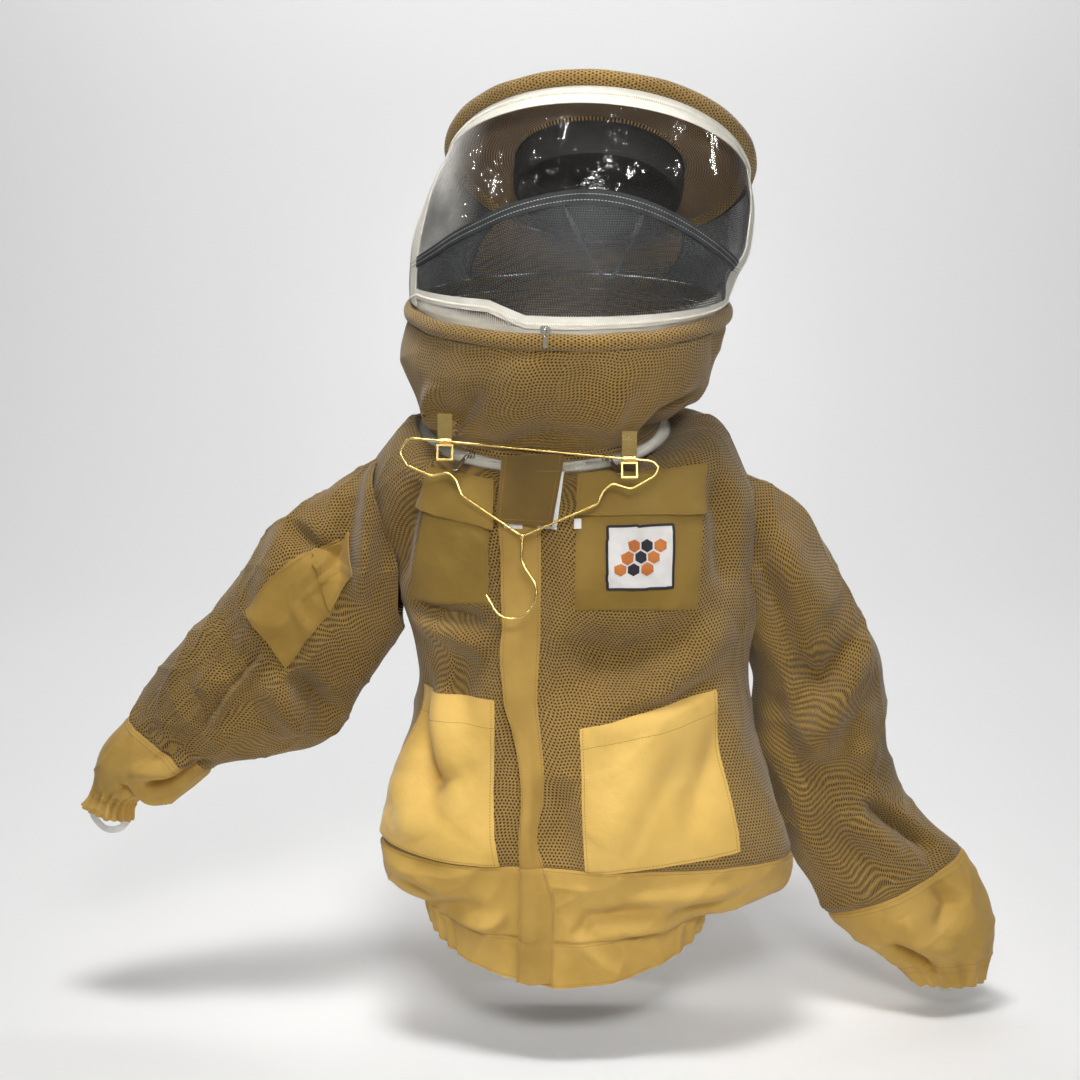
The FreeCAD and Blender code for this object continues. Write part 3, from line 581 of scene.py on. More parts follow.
GREY = tape_material("grey_elastic", rgb(176, 176, 166), rgb(150, 150, 142))
BRASS = plain_material("brass", rgb(226, 196, 124), rgb(212, 180, 104), 0.24, bump=0.0, Metallic=1.0)
NICKEL = plain_material("nickel", rgb(205, 200, 188), rgb(180, 174, 160), 0.25, bump=0.05, Metallic=1.0)
STEEL = plain_material("hoop_steel", rgb(150, 150, 150), rgb(120, 120, 120), 0.35, Metallic=1.0)
SCREEN = screen_material("black_screen", rgb(44, 47, 46), 2.6, 0.7, 0.05)
SIDE_SCREEN = screen_material("side_screen", rgb(34, 34, 34), 2.2, 0.8, 0.35)
WINDOW = window_material("clear_window")
PATCH = plain_material("badge_white", rgb(236, 233, 230), rgb(222, 218, 214), 0.8, bump=0.5)
PATCH_DARK = plain_material("badge_dark", rgb(44, 38, 48), rgb(30, 26, 34), 0.8, bump=0.5)
PATCH_HONEY = plain_material("badge_honey", rgb(206, 122, 52), rgb(184, 100, 38), 0.7, bump=0.5)


# ---- Mesh building ----
def make(name, points, faces, uvs, material, body, nodes=(), crease=50):
    """A piece from points in millimetres; uvs holds one pair for each corner of each face."""
    mesh = bpy.data.meshes.new(name)
    mesh.from_pydata((np.asarray(points) * MM).tolist(), [], [tuple(map(int, f)) for f in faces])
    if uvs is not None:
        layer = mesh.uv_layers.new(name="cloth")
        layer.data.foreach_set("uv", np.asarray(uvs, np.float32).ravel())
    mesh.materials.append(material)
    mesh.polygons.foreach_set("use_smooth", [True] * len(mesh.polygons))
    mesh.set_sharp_from_angle(angle=math.radians(crease))
    obj = bpy.data.objects.new(name, mesh)
    bpy.context.scene.collection.objects.link(obj)
    if isinstance(body, tuple):
        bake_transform(obj)
    else:
        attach(obj, body)
    if nodes:
        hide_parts(*nodes)
    return obj


def lengths(p, axis):
    d = np.linalg.norm(np.diff(p, axis=axis), axis=-1)
    zero = np.zeros_like(np.take(d, [0], axis=axis))
    return np.cumsum(np.concatenate([zero, d], axis=axis), axis=axis)


def shell(name, outer, inner, material, body, slot, nodes=(), closed=False, keep=None, inside=None):
    """A sheet with thickness between two grids of points. closed joins the last column to the first.
    keep marks the grid's faces that stay; inside is a second material for the inner face."""
    nu, nv = outer.shape[:2]
    cols = nu if closed else nu - 1
    wrap = np.concatenate([outer, outer[:1]]) if closed else outer
    u, v = lengths(wrap, 0), lengths(wrap, 1)
    middle = u.shape[0] // 2
    u = u - u[middle:middle + 1]
    count = nu * nv
    points = np.concatenate([outer.reshape(-1, 3), inner.reshape(-1, 3)])
    keep = np.ones((cols, nv - 1), bool) if keep is None else keep

    def index(i, j):
        return (i % nu) * nv + j

    faces, uvs, kinds = [], [], []
    for i in range(cols):
        for j in range(nv - 1):
            if not keep[i, j]:
                continue
            corners = [(i, j), (i + 1, j), (i + 1, j + 1), (i, j + 1)]
            ring = [index(*c) for c in corners]
            flat = [(u[c], v[c]) for c in corners]
            faces += [ring, [k + count for k in reversed(ring)]]
            uvs += flat + flat[::-1]
            kinds += [0, 1 if inside else 0]
            for k, (di, dj) in enumerate(((0, -1), (1, 0), (0, 1), (-1, 0))):
                ni, nj = i + di, j + dj
                if closed:
                    ni %= cols
                if 0 <= ni < cols and 0 <= nj < nv - 1 and keep[ni, nj]:
                    continue
                a, b = ring[k], ring[(k + 1) % 4]
                faces.append([b, a, a + count, b + count])
                uvs += [flat[(k + 1) % 4], flat[k], flat[k], flat[(k + 1) % 4]]
                kinds.append(0)
    used = np.unique(np.concatenate([np.asarray(f) for f in faces]))
    renumber = np.full(len(points), -1)
    renumber[used] = np.arange(len(used))
    faces = [[renumber[k] for k in f] for f in faces]
    obj = make(name, points[used], faces, uvs, material, body, nodes)
    if inside:
        obj.data.materials.append(inside)
        obj.data.polygons.foreach_set("material_index", kinds)
    return obj


def grid(u0, u1, nu, v0, v1, nv):
    return np.meshgrid(np.linspace(u0, u1, nu), np.linspace(v0, v1, nv), indexing="ij")


def sheet(name, skin, u, v, low, high, material, body, slot, nodes=(), closed=False, **more):
    """Cloth on a skin, between two offsets from it; u and v are grids of the skin's parameters."""
    return shell(name, skin(u, v, high), skin(u, v, low), material, body, slot, nodes, closed, **more)


def tube(name, path, radius, material, body, nodes=(), sides=10, loop=False, flat=1.0, up=(0, 0, 1)):
    """A round or flattened tube along a path of points."""
    path = np.asarray(path, float)
    tangent = np.gradient(path, axis=0)
    if loop:
        tangent = np.roll(path, -1, 0) - np.roll(path, 1, 0)
    tangent /= np.linalg.norm(tangent, axis=1, keepdims=True)
    side = np.cross(tangent, np.asarray(up, float))
    side /= np.maximum(np.linalg.norm(side, axis=1, keepdims=True), 1e-9)
    over = np.cross(side, tangent)
    a = np.linspace(0, 2 * np.pi, sides, endpoint=False)
    wide, high = (np.cos(a) * radius)[None, :, None], (np.sin(a) * radius * flat)[None, :, None]
    points = path[:, None] + (side[:, None] * wide + over[:, None] * high)
    n = len(path)
    run = np.concatenate([[0], np.cumsum(np.linalg.norm(np.diff(path, axis=0), axis=1))])
    run = np.append(run, run[-1] + np.linalg.norm(path[0] - path[-1]))
    round_ = np.linspace(0, 2 * np.pi * radius, sides + 1)
    faces, uvs = [], []
    for i in range(n if loop else n - 1):
        for j in range(sides):
            k = (j + 1) % sides
            ni = (i + 1) % n
            faces.append([i * sides + j, i * sides + k, ni * sides + k, ni * sides + j])
            uvs += [(round_[j + dj], run[i + di]) for dj, di in ((0, 0), (1, 0), (1, 1), (0, 1))]
    if not loop:
        for end, order in ((0, -1), (n - 1, 1)):
            faces.append([end * sides + j for j in range(sides)][::order])
            uvs += [(0, 0)] * sides
    return make(name, points.reshape(-1, 3), faces, uvs, material, body, nodes)


def resample(path, gap):
    """Points about gap apart along a path, and the directions there."""
    path = np.asarray(path, float)
    run = np.concatenate([[0], np.cumsum(np.linalg.norm(np.diff(path, axis=0), axis=1))])
    count = max(2, int(round(run[-1] / gap)) + 1)
    at = np.linspace(0, run[-1], count)
    points = np.stack([np.interp(at, run, path[:, k]) for k in range(3)], -1)
    d = np.gradient(points, axis=0)
    return points, d / np.maximum(np.linalg.norm(d, axis=1, keepdims=True), 1e-9)


def stitches(name, path, normals_at, body, slot, material=None, gap=3.4, long=2.3, wide=0.42):
    """A row of thread stitches along a path; normals_at gives the outward directions along it."""
    points, d = resample(path, gap)
    share = np.linspace(0, 1, len(points))
    source = np.linspace(0, 1, len(normals_at))
    n = np.stack([np.interp(share, source, np.asarray(normals_at)[:, k]) for k in range(3)], -1)
    side = np.cross(d, n)
    side /= np.maximum(np.linalg.norm(side, axis=1, keepdims=True), 1e-9)
    verts, faces = [], []
    for p, t, s, up in zip(points, d, side, n):
        base = len(verts)
        for x, r in ((-0.5, 0.35), (-0.2, 1.0), (0.2, 1.0), (0.5, 0.35)):
            for c, h in ((1, 0), (0, 1), (-1, 0), (0, -1)):
                verts.append(p + t * (x * long) + s * (c * wide * r) + up * (h * wide * r * 0.8))
        for i in range(3):
            for j in range(4):
                k = (j + 1) % 4
                faces.append([base + 4 * i + j, base + 4 * i + k, base + 4 * i + 4 + k, base + 4 * i + 4 + j])
        faces += [[base + 3, base + 2, base + 1, base], [base + 12, base + 13, base + 14, base + 15]]
    return make(name, verts, faces, None, material or THREAD, body, crease=80)


def skin_stitches(name, skin, us, vs, off, body, slot, **more):
    """Stitches along a line of a skin's parameters."""
    us, vs = arrays(us, vs)
    path = skin(us, vs, off)
    return stitches(name, path, skin.normal(skin.folded, us, vs), body, slot, **more)


# ---- Where things lie on the body ----
def on_front(x, z):
    """Angle and t of the points of the body's front that stand at x and z."""
    x, z = arrays(x, z)
    angle, t = np.full(x.shape, 90.0), np.full(x.shape, 5.0)
    for _ in range(40):
        p = body_raw(angle, t)
        da, dt = (body_raw(angle + 0.1, t) - p) * 10, (body_raw(angle, t + 0.001) - p) * 1000
        det = da[..., 0] * dt[..., 2] - dt[..., 0] * da[..., 2]
        ex, ez = x - p[..., 0], z - p[..., 2]
        angle = np.clip(angle + np.clip((ex * dt[..., 2] - ez * dt[..., 0]) / det, -15, 15), 15, 165)
        t = np.clip(t + np.clip((da[..., 0] * ez - da[..., 2] * ex) / det, -1, 1), 0, 10)
    return angle, t


def corners_grid(corners, nu, nv):
    """Grids of the two coordinates inside four corners: lower left, lower right, upper right, upper left."""
    u, v = grid(0, 1, nu, 0, 1, nv)
    (a0, b0), (a1, b1), (a2, b2), (a3, b3) = corners
    return ((a0 * (1 - u) + a1 * u) * (1 - v) + (a3 * (1 - u) + a2 * u) * v,
            (b0 * (1 - u) + b1 * u) * (1 - v) + (b3 * (1 - u) + b2 * u) * v)


def outside_body(p):
    """Whether points lie outside the body, above its waist."""
    t = np.full(p.shape[:-1], 6.0)
    for _ in range(14):
        cx, a, front, back, _, _, _, _, n, _ = along(BODY_RINGS, t)
        dx, dy = (p[..., 0] - cx) / a, ((front + back) / 2 - p[..., 1]) / ((back - front) / 2)
        angle = np.degrees(np.arctan2(dy, dx))
        shape = np.abs(dx) ** n + np.abs(dy) ** n
        slope = (body_raw(angle, t + 0.01)[..., 2] - body_raw(angle, t - 0.01)[..., 2]) / 0.02
        t = np.clip(t + (p[..., 2] - body_raw(angle, t)[..., 2]) / slope, 3.0, 9.4)
    return shape > 1


def armhole_t(skin, angle):
    """Where a sleeve comes out of the body, at each angle round it."""
    low, high = np.zeros_like(angle), np.full_like(angle, 2.0)
    for _ in range(18):
        mid = (low + high) / 2
        out = outside_body(skin.raw(angle, mid))
        high, low = np.where(out, mid, high), np.where(out, low, mid)
    return high


def in_armhole(p, skin):
    """Whether a point of the body lies well inside the sleeve that leaves it."""
    quarters = np.array([0.0, 90.0, 180.0, 270.0])
    rim = skin.raw(quarters, armhole_t(skin, quarters))
    cy, cz = (rim[1, 1] + rim[3, 1]) / 2, (rim[0, 2] + rim[2, 2]) / 2
    deep, high = abs(rim[3, 1] - rim[1, 1]) / 2 - 13, (rim[0, 2] - rim[2, 2]) / 2 - 15
    side = np.sign(rim[0, 0])
    return (((p[..., 1] - cy) / deep) ** 2 + ((p[..., 2] - cz) / high) ** 2 < 1) & (p[..., 0] * side > 100)


def beside_zip(t, shift):
    """Angle of the body's points that stand this far beside the zip."""
    low, high = np.full_like(t, 60.0), np.full_like(t, 150.0)
    for _ in range(26):
        mid = (low + high) / 2
        p = body_raw(mid, t)
        right = p[..., 0] > zip_x(p[..., 2]) + shift
        low, high = np.where(right, mid, low), np.where(right, high, mid)
    return (low + high) / 2


# ---- Jacket ----
def every_corner(keep):
    """For each face of a grid, whether all its four corners are kept."""
    return keep[:-1, :-1] & keep[1:, 1:] & keep[1:, :-1] & keep[:-1, 1:]


def front_grid(side, t0, t1, nu, nv):
    """Parameters of half the front, from the zip to the side seam."""
    s, t = grid(0, 1, nu, t0, t1, nv)
    start = beside_zip(t[0], -2.5 if side == "right" else 2.5)[None, :]
    end = 179.7 if side == "right" else 0.3
    return start + (end - start) * s, t


def panels():
    for side in ("right", "left"):
        sleeve = RIGHT if side == "right" else LEFT
        u, t = front_grid(side, WAIST, NECK_END, 110, 230)
        keep = every_corner(~in_armhole(body_raw(u, t), sleeve))
        name = "front_panel_" + side
        sheet(name + "_cloth", BODY, u, t, -MESH, 0, KHAKI, "jacket", "mesh_cloth", [name], keep=keep,
              inside=KHAKI_INSIDE_SHADE)
        for kind, t0, t1 in (("waist_panel_", BAND_TOP, WAIST), ("hem_band_", 0.0, BAND_TOP)):
            u, t = front_grid(side, t0, t1, 130, 60 if kind[0] == "w" else 24)
            name = kind + side
            sheet(name + "_cloth", BODY, u, t, -COTTON, 0.6, GOLD, "jacket", "cotton_cloth", [name])
            for row, at in enumerate((t0 + 0.06, t1 - 0.06)):
                line = front_grid(side, at, at + 1e-3, 160, 2)[0][:, 0]
                skin_stitches(f"{name}_stitch_{row}", BODY, line, at, 0.7, "jacket", "cotton_cloth")
    u, t = grid(180.3, 359.7, 150, WAIST, NECK_END, 220)
    keep = every_corner(~(in_armhole(body_raw(u, t), RIGHT) | in_armhole(body_raw(u, t), LEFT)))
    sheet("back_panel_cloth", BODY, u, t, -MESH, 0, KHAKI, "jacket", "mesh_cloth", ["back_panel"], keep=keep,
          inside=KHAKI_INSIDE_SHADE)
    low_back = (("waist_panel_back", BAND_TOP, WAIST, 240, 60, 1, "cotton_cloth"),
                ("hem_elastic", 0, BAND_TOP, 420, 26, 2, "gathered_elastic"))
    for name, t0, t1, nu, nv, layers, slot in low_back:
        u, t = grid(180.3, 359.7, nu, t0, t1, nv)
        sheet(name + "_cloth", BODY, u, t, -layers * COTTON, 0.6, GOLD, "jacket", slot, [name])
    line = np.linspace(181, 359, 300)
    for k, at in enumerate((BAND_TOP - 0.08, BAND_TOP + 0.06, WAIST - 0.06)):
        skin_stitches(f"waist_back_stitch_{k}", BODY, line, at, 0.7, "jacket", "cotton_cloth")


def teeth(gap, long, wide):
    """What a row of stitches needs to be a row of zip teeth."""
    return dict(material=TEETH, gap=gap, long=long, wide=wide)


# The cover's left and right edges and height, from the hem up.
PLACKET = [(-62, -20, -652), (-56, -18, -545), (-56, -24, -522), (-58, -38, -474), (-55, -33, -430),
           (-56, -31, -391), (-64, -34, -350), (-73, -38, -310), (-74, -35, -229), (-79, -34, -115),
           (-78, -34, -84)]


def front_opening():
    s, v = grid(0, 1, 15, 0, len(PLACKET) - 1, 260)
    left, right, z = along(PLACKET, v)
    z = np.maximum(z, -639 + 4 * s)
    x = left + (right - left) * s
    angle, t = on_front(x, z)
    free = step((1 - s) / 0.6)
    lift = 1.6 + 8.4 * free + 2.2 * np.sin(z / 24) * free ** 2 + 1.2 * np.sin(z / 11) * (1 - s) ** 3
    outer, inner = BODY(angle, t, lift), BODY(angle, t, lift - 1.3)
    shell("placket_cloth", outer, inner, GOLD_DARKER, "jacket", "cotton_cloth", ["placket"])
    for name, share in (("placket_stitch_inner", 0.93), ("placket_stitch_outer", 0.07)):
        k = int(round(share * 14))
        skin_stitches(name, BODY, angle[k], t[k], lift[k] + 0.2, "jacket", "cotton_cloth")
    v = np.linspace(0, 1, 200)
    z = ZIP_TOP[1] + (ZIP_END[1] + 4 - ZIP_TOP[1]) * v
    tape_u = np.linspace(-4.5, 8, 9)
    x = zip_x(z)[None, :] + tape_u[:, None]
    angle, t = on_front(x, np.broadcast_to(z, x.shape))
    sheet("front_zip_tape", BODY, angle, t, 0.3, 1.2, OFF_WHITE, "jacket", "white_tape", ["front_zip"])
    angle, t = on_front(zip_x(z), z)
    skin_stitches("front_zip_teeth", BODY, angle, t, 1.7, "jacket", "white_tape", **teeth(2.4, 1.5, 2.2))


def patch(name, corners, material, low=0.4, high=2.4, puff=1.5, body="jacket", skin=None, nu=50, nv=56,
          lift=None, slot="cotton_cloth", sewn=True, hem=None):
    """A patch with four corners on the front, or on another skin, and its topstitching."""
    a, b = corners_grid(corners, nu, nv)
    angle, t = on_front(a, b) if skin is None else (a, b)
    skin = skin or BODY
    u, v = grid(0, 1, nu, 0, 1, nv)
    swell = puff * np.minimum(1, 5 * u * (1 - u)) * np.minimum(1, 5 * v * (1 - v))
    if lift is not None:
        swell = swell + lift(u, v)
    outer = skin(angle, t, high + swell)
    shell(name + "_cloth", outer, skin(angle, t, low + swell * 0.8), material, body, slot, [name])
    if not sewn:
        return
    width = np.linalg.norm(outer[-1, nv // 2] - outer[0, nv // 2])
    height = np.linalg.norm(outer[nu // 2, -1] - outer[nu // 2, 0])

    def line(s, r, key):
        s, r = arrays(s, r)
        i, j = s * (nu - 1), r * (nv - 1)
        i0, j0 = np.minimum(i.astype(int), nu - 2), np.minimum(j.astype(int), nv - 2)
        fi, fj = (i - i0)[:, None], (j - j0)[:, None]
        at = (outer[i0, j0] * (1 - fi) * (1 - fj) + outer[i0 + 1, j0] * fi * (1 - fj)
              + outer[i0, j0 + 1] * (1 - fi) * fj + outer[i0 + 1, j0 + 1] * fi * fj)
        out = skin.normal(skin.folded, angle[i0, j0], t[i0, j0])
        stitches(f"{name}_stitch_{key}", at + out * 0.15, out, body, slot)

    run = np.linspace(0, 1, 60)
    du, dv = SEAM / width, SEAM / height
    inner_u, inner_v = du + (1 - 2 * du) * run, dv + (1 - 2 * dv) * run
    line(du, inner_v, "0a")
    line(1 - du, inner_v, "0b")
    line(inner_u, dv, "0c")
    if hem is None:
        line(inner_u, 1 - dv, "0d")
    else:
        line(run * 0.98 + 0.01, 1 - hem / height, "hem")


def hexagon(cx, cz, r, off, name, material):
    """A small raised six-sided cell on the badge."""
    turn = np.radians(60 * np.arange(6) + 30)[:, None]
    share = np.linspace(0, 1, 4)[None, :]
    near = 0.02 + 0.98 * share
    angle, t = on_front(cx + r * np.cos(turn) * near, cz + r * np.sin(turn) * near)
    rise = off + 0.5 * (1 - share ** 4) + 0 * turn
    shell(name, BODY(angle, t, rise), BODY(angle, t, rise - 1.4), material, "jacket", "badge", closed=True)


def pockets():
    patch("chest_pocket_right", [(-186, -210), (-92, -204), (-89, -66), (-155, -56)], CHEST_PAINTED_SHADE)
    patch("chest_pocket_left", [(3, -209), (141, -211), (146, -53), (5, -62)], CHEST_PAINTED_SHADE)
    patch("chest_flap_right", [(-174, -101), (-85, -120), (-84, -67), (-156, -56)], CHEST_PAINTED_SHADE, 4.4, 5.8, 0.5,
          "chest_flap_right", lift=lambda u, v: (1 - v) ** 2 * (2.0 + 2.0 * np.sin(u * 7)))
    patch("chest_flap_left", [(3, -104), (146, -107), (147, -54), (6, -63)], CHEST_PAINTED_SHADE, 4.4, 5.8, 0.5,
          "chest_flap_left", lift=lambda u, v: (1 - v) ** 3 * 1.5)
    patch("lower_pocket_left", [(16, -504), (182, -489), (166, -307), (9, -342)], GOLD_POCKET_PAINTED_LIGHT, puff=3.0,
          hem=24)
    patch("lower_pocket_right", [(168, 3.14), (113.5, 3.03), (120.7, 5.0), (166, 5.05)], GOLD_POCKET_PAINTED_LIGHT, puff=3.0,
          skin=BODY, hem=24)
    badge = [(38, -185), (110, -185), (110, -117), (38, -117)]
    patch("badge_patch", badge, PATCH, 4.0, 5.0, 0.0, slot="badge", sewn=False)
    path, _ = resample([(x, 0, z) for x, z in badge + badge[:1]], 1.5)
    angle, t = on_front(path[:, 0], path[:, 2])
    tube("badge_border", BODY(angle, t, 5.0), 1.5, PATCH_DARK, "jacket", sides=8, up=(0, -1, 0))
    cells = [(0, 0), (1, 0), (-1, 0), (0.5, 1), (-0.5, 1), (0.5, -1), (-0.5, -1), (1.5, 1), (-1.5, -1)]
    for k, (i, j) in enumerate(cells):
        colour = PATCH_HONEY if k % 3 else PATCH_DARK
        hexagon(74 + i * 14.5, -151 + j * 12.6, 7.2, 5.9, f"badge_cell_{k}", colour)
    patch("side_tag", [(1, -119), (9, -119), (9, -108), (1, -108)], WHITE, 5.2, 6.0, 0.0, slot="white_tape",
          nu=6, nv=6, sewn=False)


def around_grid(nu, t0, t1, nv):
    """Parameters right round a skin; the last column doesn't repeat the first."""
    return np.meshgrid(np.linspace(0, 360, nu, endpoint=False), np.linspace(t0, t1, nv), indexing="ij")


def hanging_piece(name, outline, y, thick, material, body, slot, nodes, sway, nu=30, nv=34):
    """A small piece of cloth hanging in front of the chest; sway gives how far each point stands forward."""
    x, z = corners_grid(outline, nu, nv)
    u, v = grid(0, 1, nu, 0, 1, nv)
    forward = y - sway(u, v)
    front = np.stack([x, forward, z], -1)
    obj = shell(name, front, front + np.array([0, thick, 0]), material, body, slot, nodes)
    return obj, front


def neck_closure():
    def sway(u, v):
        bend = 1.0 + 4.0 * np.sin(u * 3.1 + 0.4) * (1 - v) + 1.8 * np.sin(u * 9 + v * 2) * (1 - v) ** 2
        return bend - 6.5 * v ** 3

    flap = [(-84, -110), (-22, -115), (-8, -36), (-76, -39)]
    obj, front = hanging_piece("top_flap_cloth", flap, -263.4, 1.5, BROWN, "top_flap", "cotton_cloth",
                               ["top_flap"], sway)
    forward = np.array([0, -1.0, 0])
    for key, line in (("low", front[2:-2, 2]), ("right", front[-3, 2:]), ("left", front[2, 2:])):
        out = np.tile(forward, (len(line), 1))
        stitches("top_flap_stitch_" + key, line + forward * 0.2, out, "top_flap", "cotton_cloth")
    tabs = (([(-74, -117), (-54, -118), (-54, -100), (-74, -99)], -262.4),
            ([(-38, -117), (-17, -119), (-9, -56), (-30, -56)], -259.6))
    for k, (outline, y) in enumerate(tabs):
        hanging_piece(f"touch_fastener_{k}", outline, y, 1.0, WHITE, "jacket", "white_tape",
                      ["touch_fastener_tabs"] if k == 0 else [], lambda u, v: 0 * u, 12, 16)
    ring_sheet("hood_skirt_hem", NECK, 130.9, 133.6, 6.8, 17, -180, 180, KHAKI, "mesh_cloth", n=300, m=10,
               wave=lambda a, s: 0.9 * np.sin(np.radians(a) * 13) * (1 - s) + 1.1 * np.sin(s * np.pi))
    for name, h0, h1, body in (("lower", -6, -1, "jacket"), ("upper", 1, 12, "hood")):
        a, h = grid(-180, 180, 360, h0, h1, 6)
        r = NECK["r"]
        outer, inner = ring_point(NECK, a, r + 1.1, h), ring_point(NECK, a, r - 1.1, h)
        shell(f"neck_zip_{name}_tape", outer, inner, OFF_WHITE, body, "white_tape", [f"neck_zip_{name}_half"])
        line = np.linspace(-152, 152, 340)
        at = ring_point(NECK, line, r + 0.9, -1.2 if name == "lower" else 1.2)
        out = ring_point(NECK, line, r + 10, 0) - ring_point(NECK, line, r, 0)
        stitches(f"neck_zip_{name}_teeth", at, out, body, "white_tape", **teeth(2.6, 1.5, 1.9))


def sleeves():
    parts = (("right", RIGHT, RIGHT_CUFF, RIGHT_BAND, len(RIGHT_SLEEVE) - 1, 0.05, (-0.200, -0.250)),
             ("left", LEFT, LEFT_CUFF, LEFT_BAND, len(LEFT_SLEEVE) - 1, 0.5, (0.212, 0.240)))
    for side, skin, cuff, band, end, tuck, (x0, x1) in parts:
        body = "sleeve_" + side
        angles = np.linspace(0, 360, 190, endpoint=False)
        start = np.maximum(armhole_t(skin, angles)[:, None] - tuck, 0.02)
        s = np.linspace(0, 1, 230)[None, :]
        t = start + (cuff - start) * s
        u = np.broadcast_to(angles[:, None], t.shape)
        span = ("jacket", body, (x0, -0.115, -0.1), (x1, -0.115, -0.1))
        shell(body + "_cloth", skin(u, t, 0), skin(u, t, -MESH), KHAKI, span, "mesh_cloth", [body],
              closed=True, inside=KHAKI_INSIDE_SHADE)
        ends = (("cuff_", cuff, band, 190, 90, 1, "cotton_cloth"),
                ("cuff_elastic_", band, end, 300, 30, 2, "gathered_elastic"))
        for kind, t0, t1, nu, nv, layers, slot in ends:
            u, t = around_grid(nu, t0, t1, nv)
            name = kind + side
            sheet(name + "_cloth", skin, u, t, -layers * COTTON, 0.7, GOLD, body, slot, [name], closed=True)
        line = np.linspace(0, 360, 260)
        for k, at in enumerate((cuff + 0.06, cuff + 0.14, band - 0.05, band + 0.2)):
            skin_stitches(f"cuff_{side}_stitch_{k}", skin, line, at, 0.8, body, "cotton_cloth")
    patch("sleeve_pocket", [(51.7, 2.94), (94.8, 2.87), (100.1, 1.72), (64, 1.2)], SLEEVE_PAINTED_SHADE, 0.4, 2.2, 2.5,
          "sleeve_right", skin=RIGHT, lift=lambda u, v: 1.6 * np.sin(v * 9 + u * 4) * u)
    patch("sleeve_flap", [(62, 1.66), (98, 1.78), (92, 1.1), (66, 0.95)], SLEEVE_PAINTED_SHADE, 4.6, 5.9, 0.6,
          "sleeve_flap", skin=RIGHT, lift=lambda u, v: (1 - v) ** 2 * (1.5 + 1.8 * np.sin(u * 8)))
    loops = (("right", [(-577, -92, -476), (-576, -92, -493), (-562, -92, -508), (-545, -92, -507),
                        (-535, -92, -495), (-534, -92, -488)]),
             ("left", [(456, -88, -692), (457, -88, -702), (462, -88, -712), (474, -88, -712),
                       (479, -88, -702), (480, -88, -692)]))
    for side, path in loops:
        s, v = grid(-5, 5, 5, 0, len(path) - 1, 60)
        x, y, z = along(path, v)
        centre = np.stack([x, y + 0.4 * s, z], -1)
        middle = np.mean(np.asarray(path, float), 0) + np.array([0, 0, 12])
        out = centre - middle
        out[..., 1] = 0
        out /= np.maximum(np.linalg.norm(out, axis=-1, keepdims=True), 1e-9)
        centre = centre + out * 0.9 * s[..., None]
        face = np.array([0.0, -1.4, 0.0])
        shell(f"thumb_loop_{side}_band", centre + face, centre, WHITE, "sleeve_" + side, "white_elastic",
              [f"thumb_loop_{side}"])


# ---- Hood ----
def ring_sheet(name, ring, inner, outer, h0, h1, a0, a1, material, slot, nodes=(), n=240, m=6, wave=None):
    """An upright band round a ring's axis."""
    a, h = grid(a0, a1, n, h0, h1, m)
    lift = 0 if wave is None else wave(a, (h - h0) / (h1 - h0))
    outside, inside = ring_point(ring, a, outer + lift, h), ring_point(ring, a, inner + lift, h)
    return shell(name, outside, inside, material, "hood", slot, nodes)


def hoop_roll(name, ring, nodes, seed):
    """A hoop's padded cover, a little uneven."""
    a = np.linspace(-180, 180, 300, endpoint=False)
    path = ring_point(ring, a, ring["r"], 0)
    path = path + ripple(path, 60, 0.7, seed)[:, None] * np.array([0.3, 0.3, 1.0])
    return tube(name, path, ROLL_R, KHAKI, "hood", nodes, sides=26, loop=True)


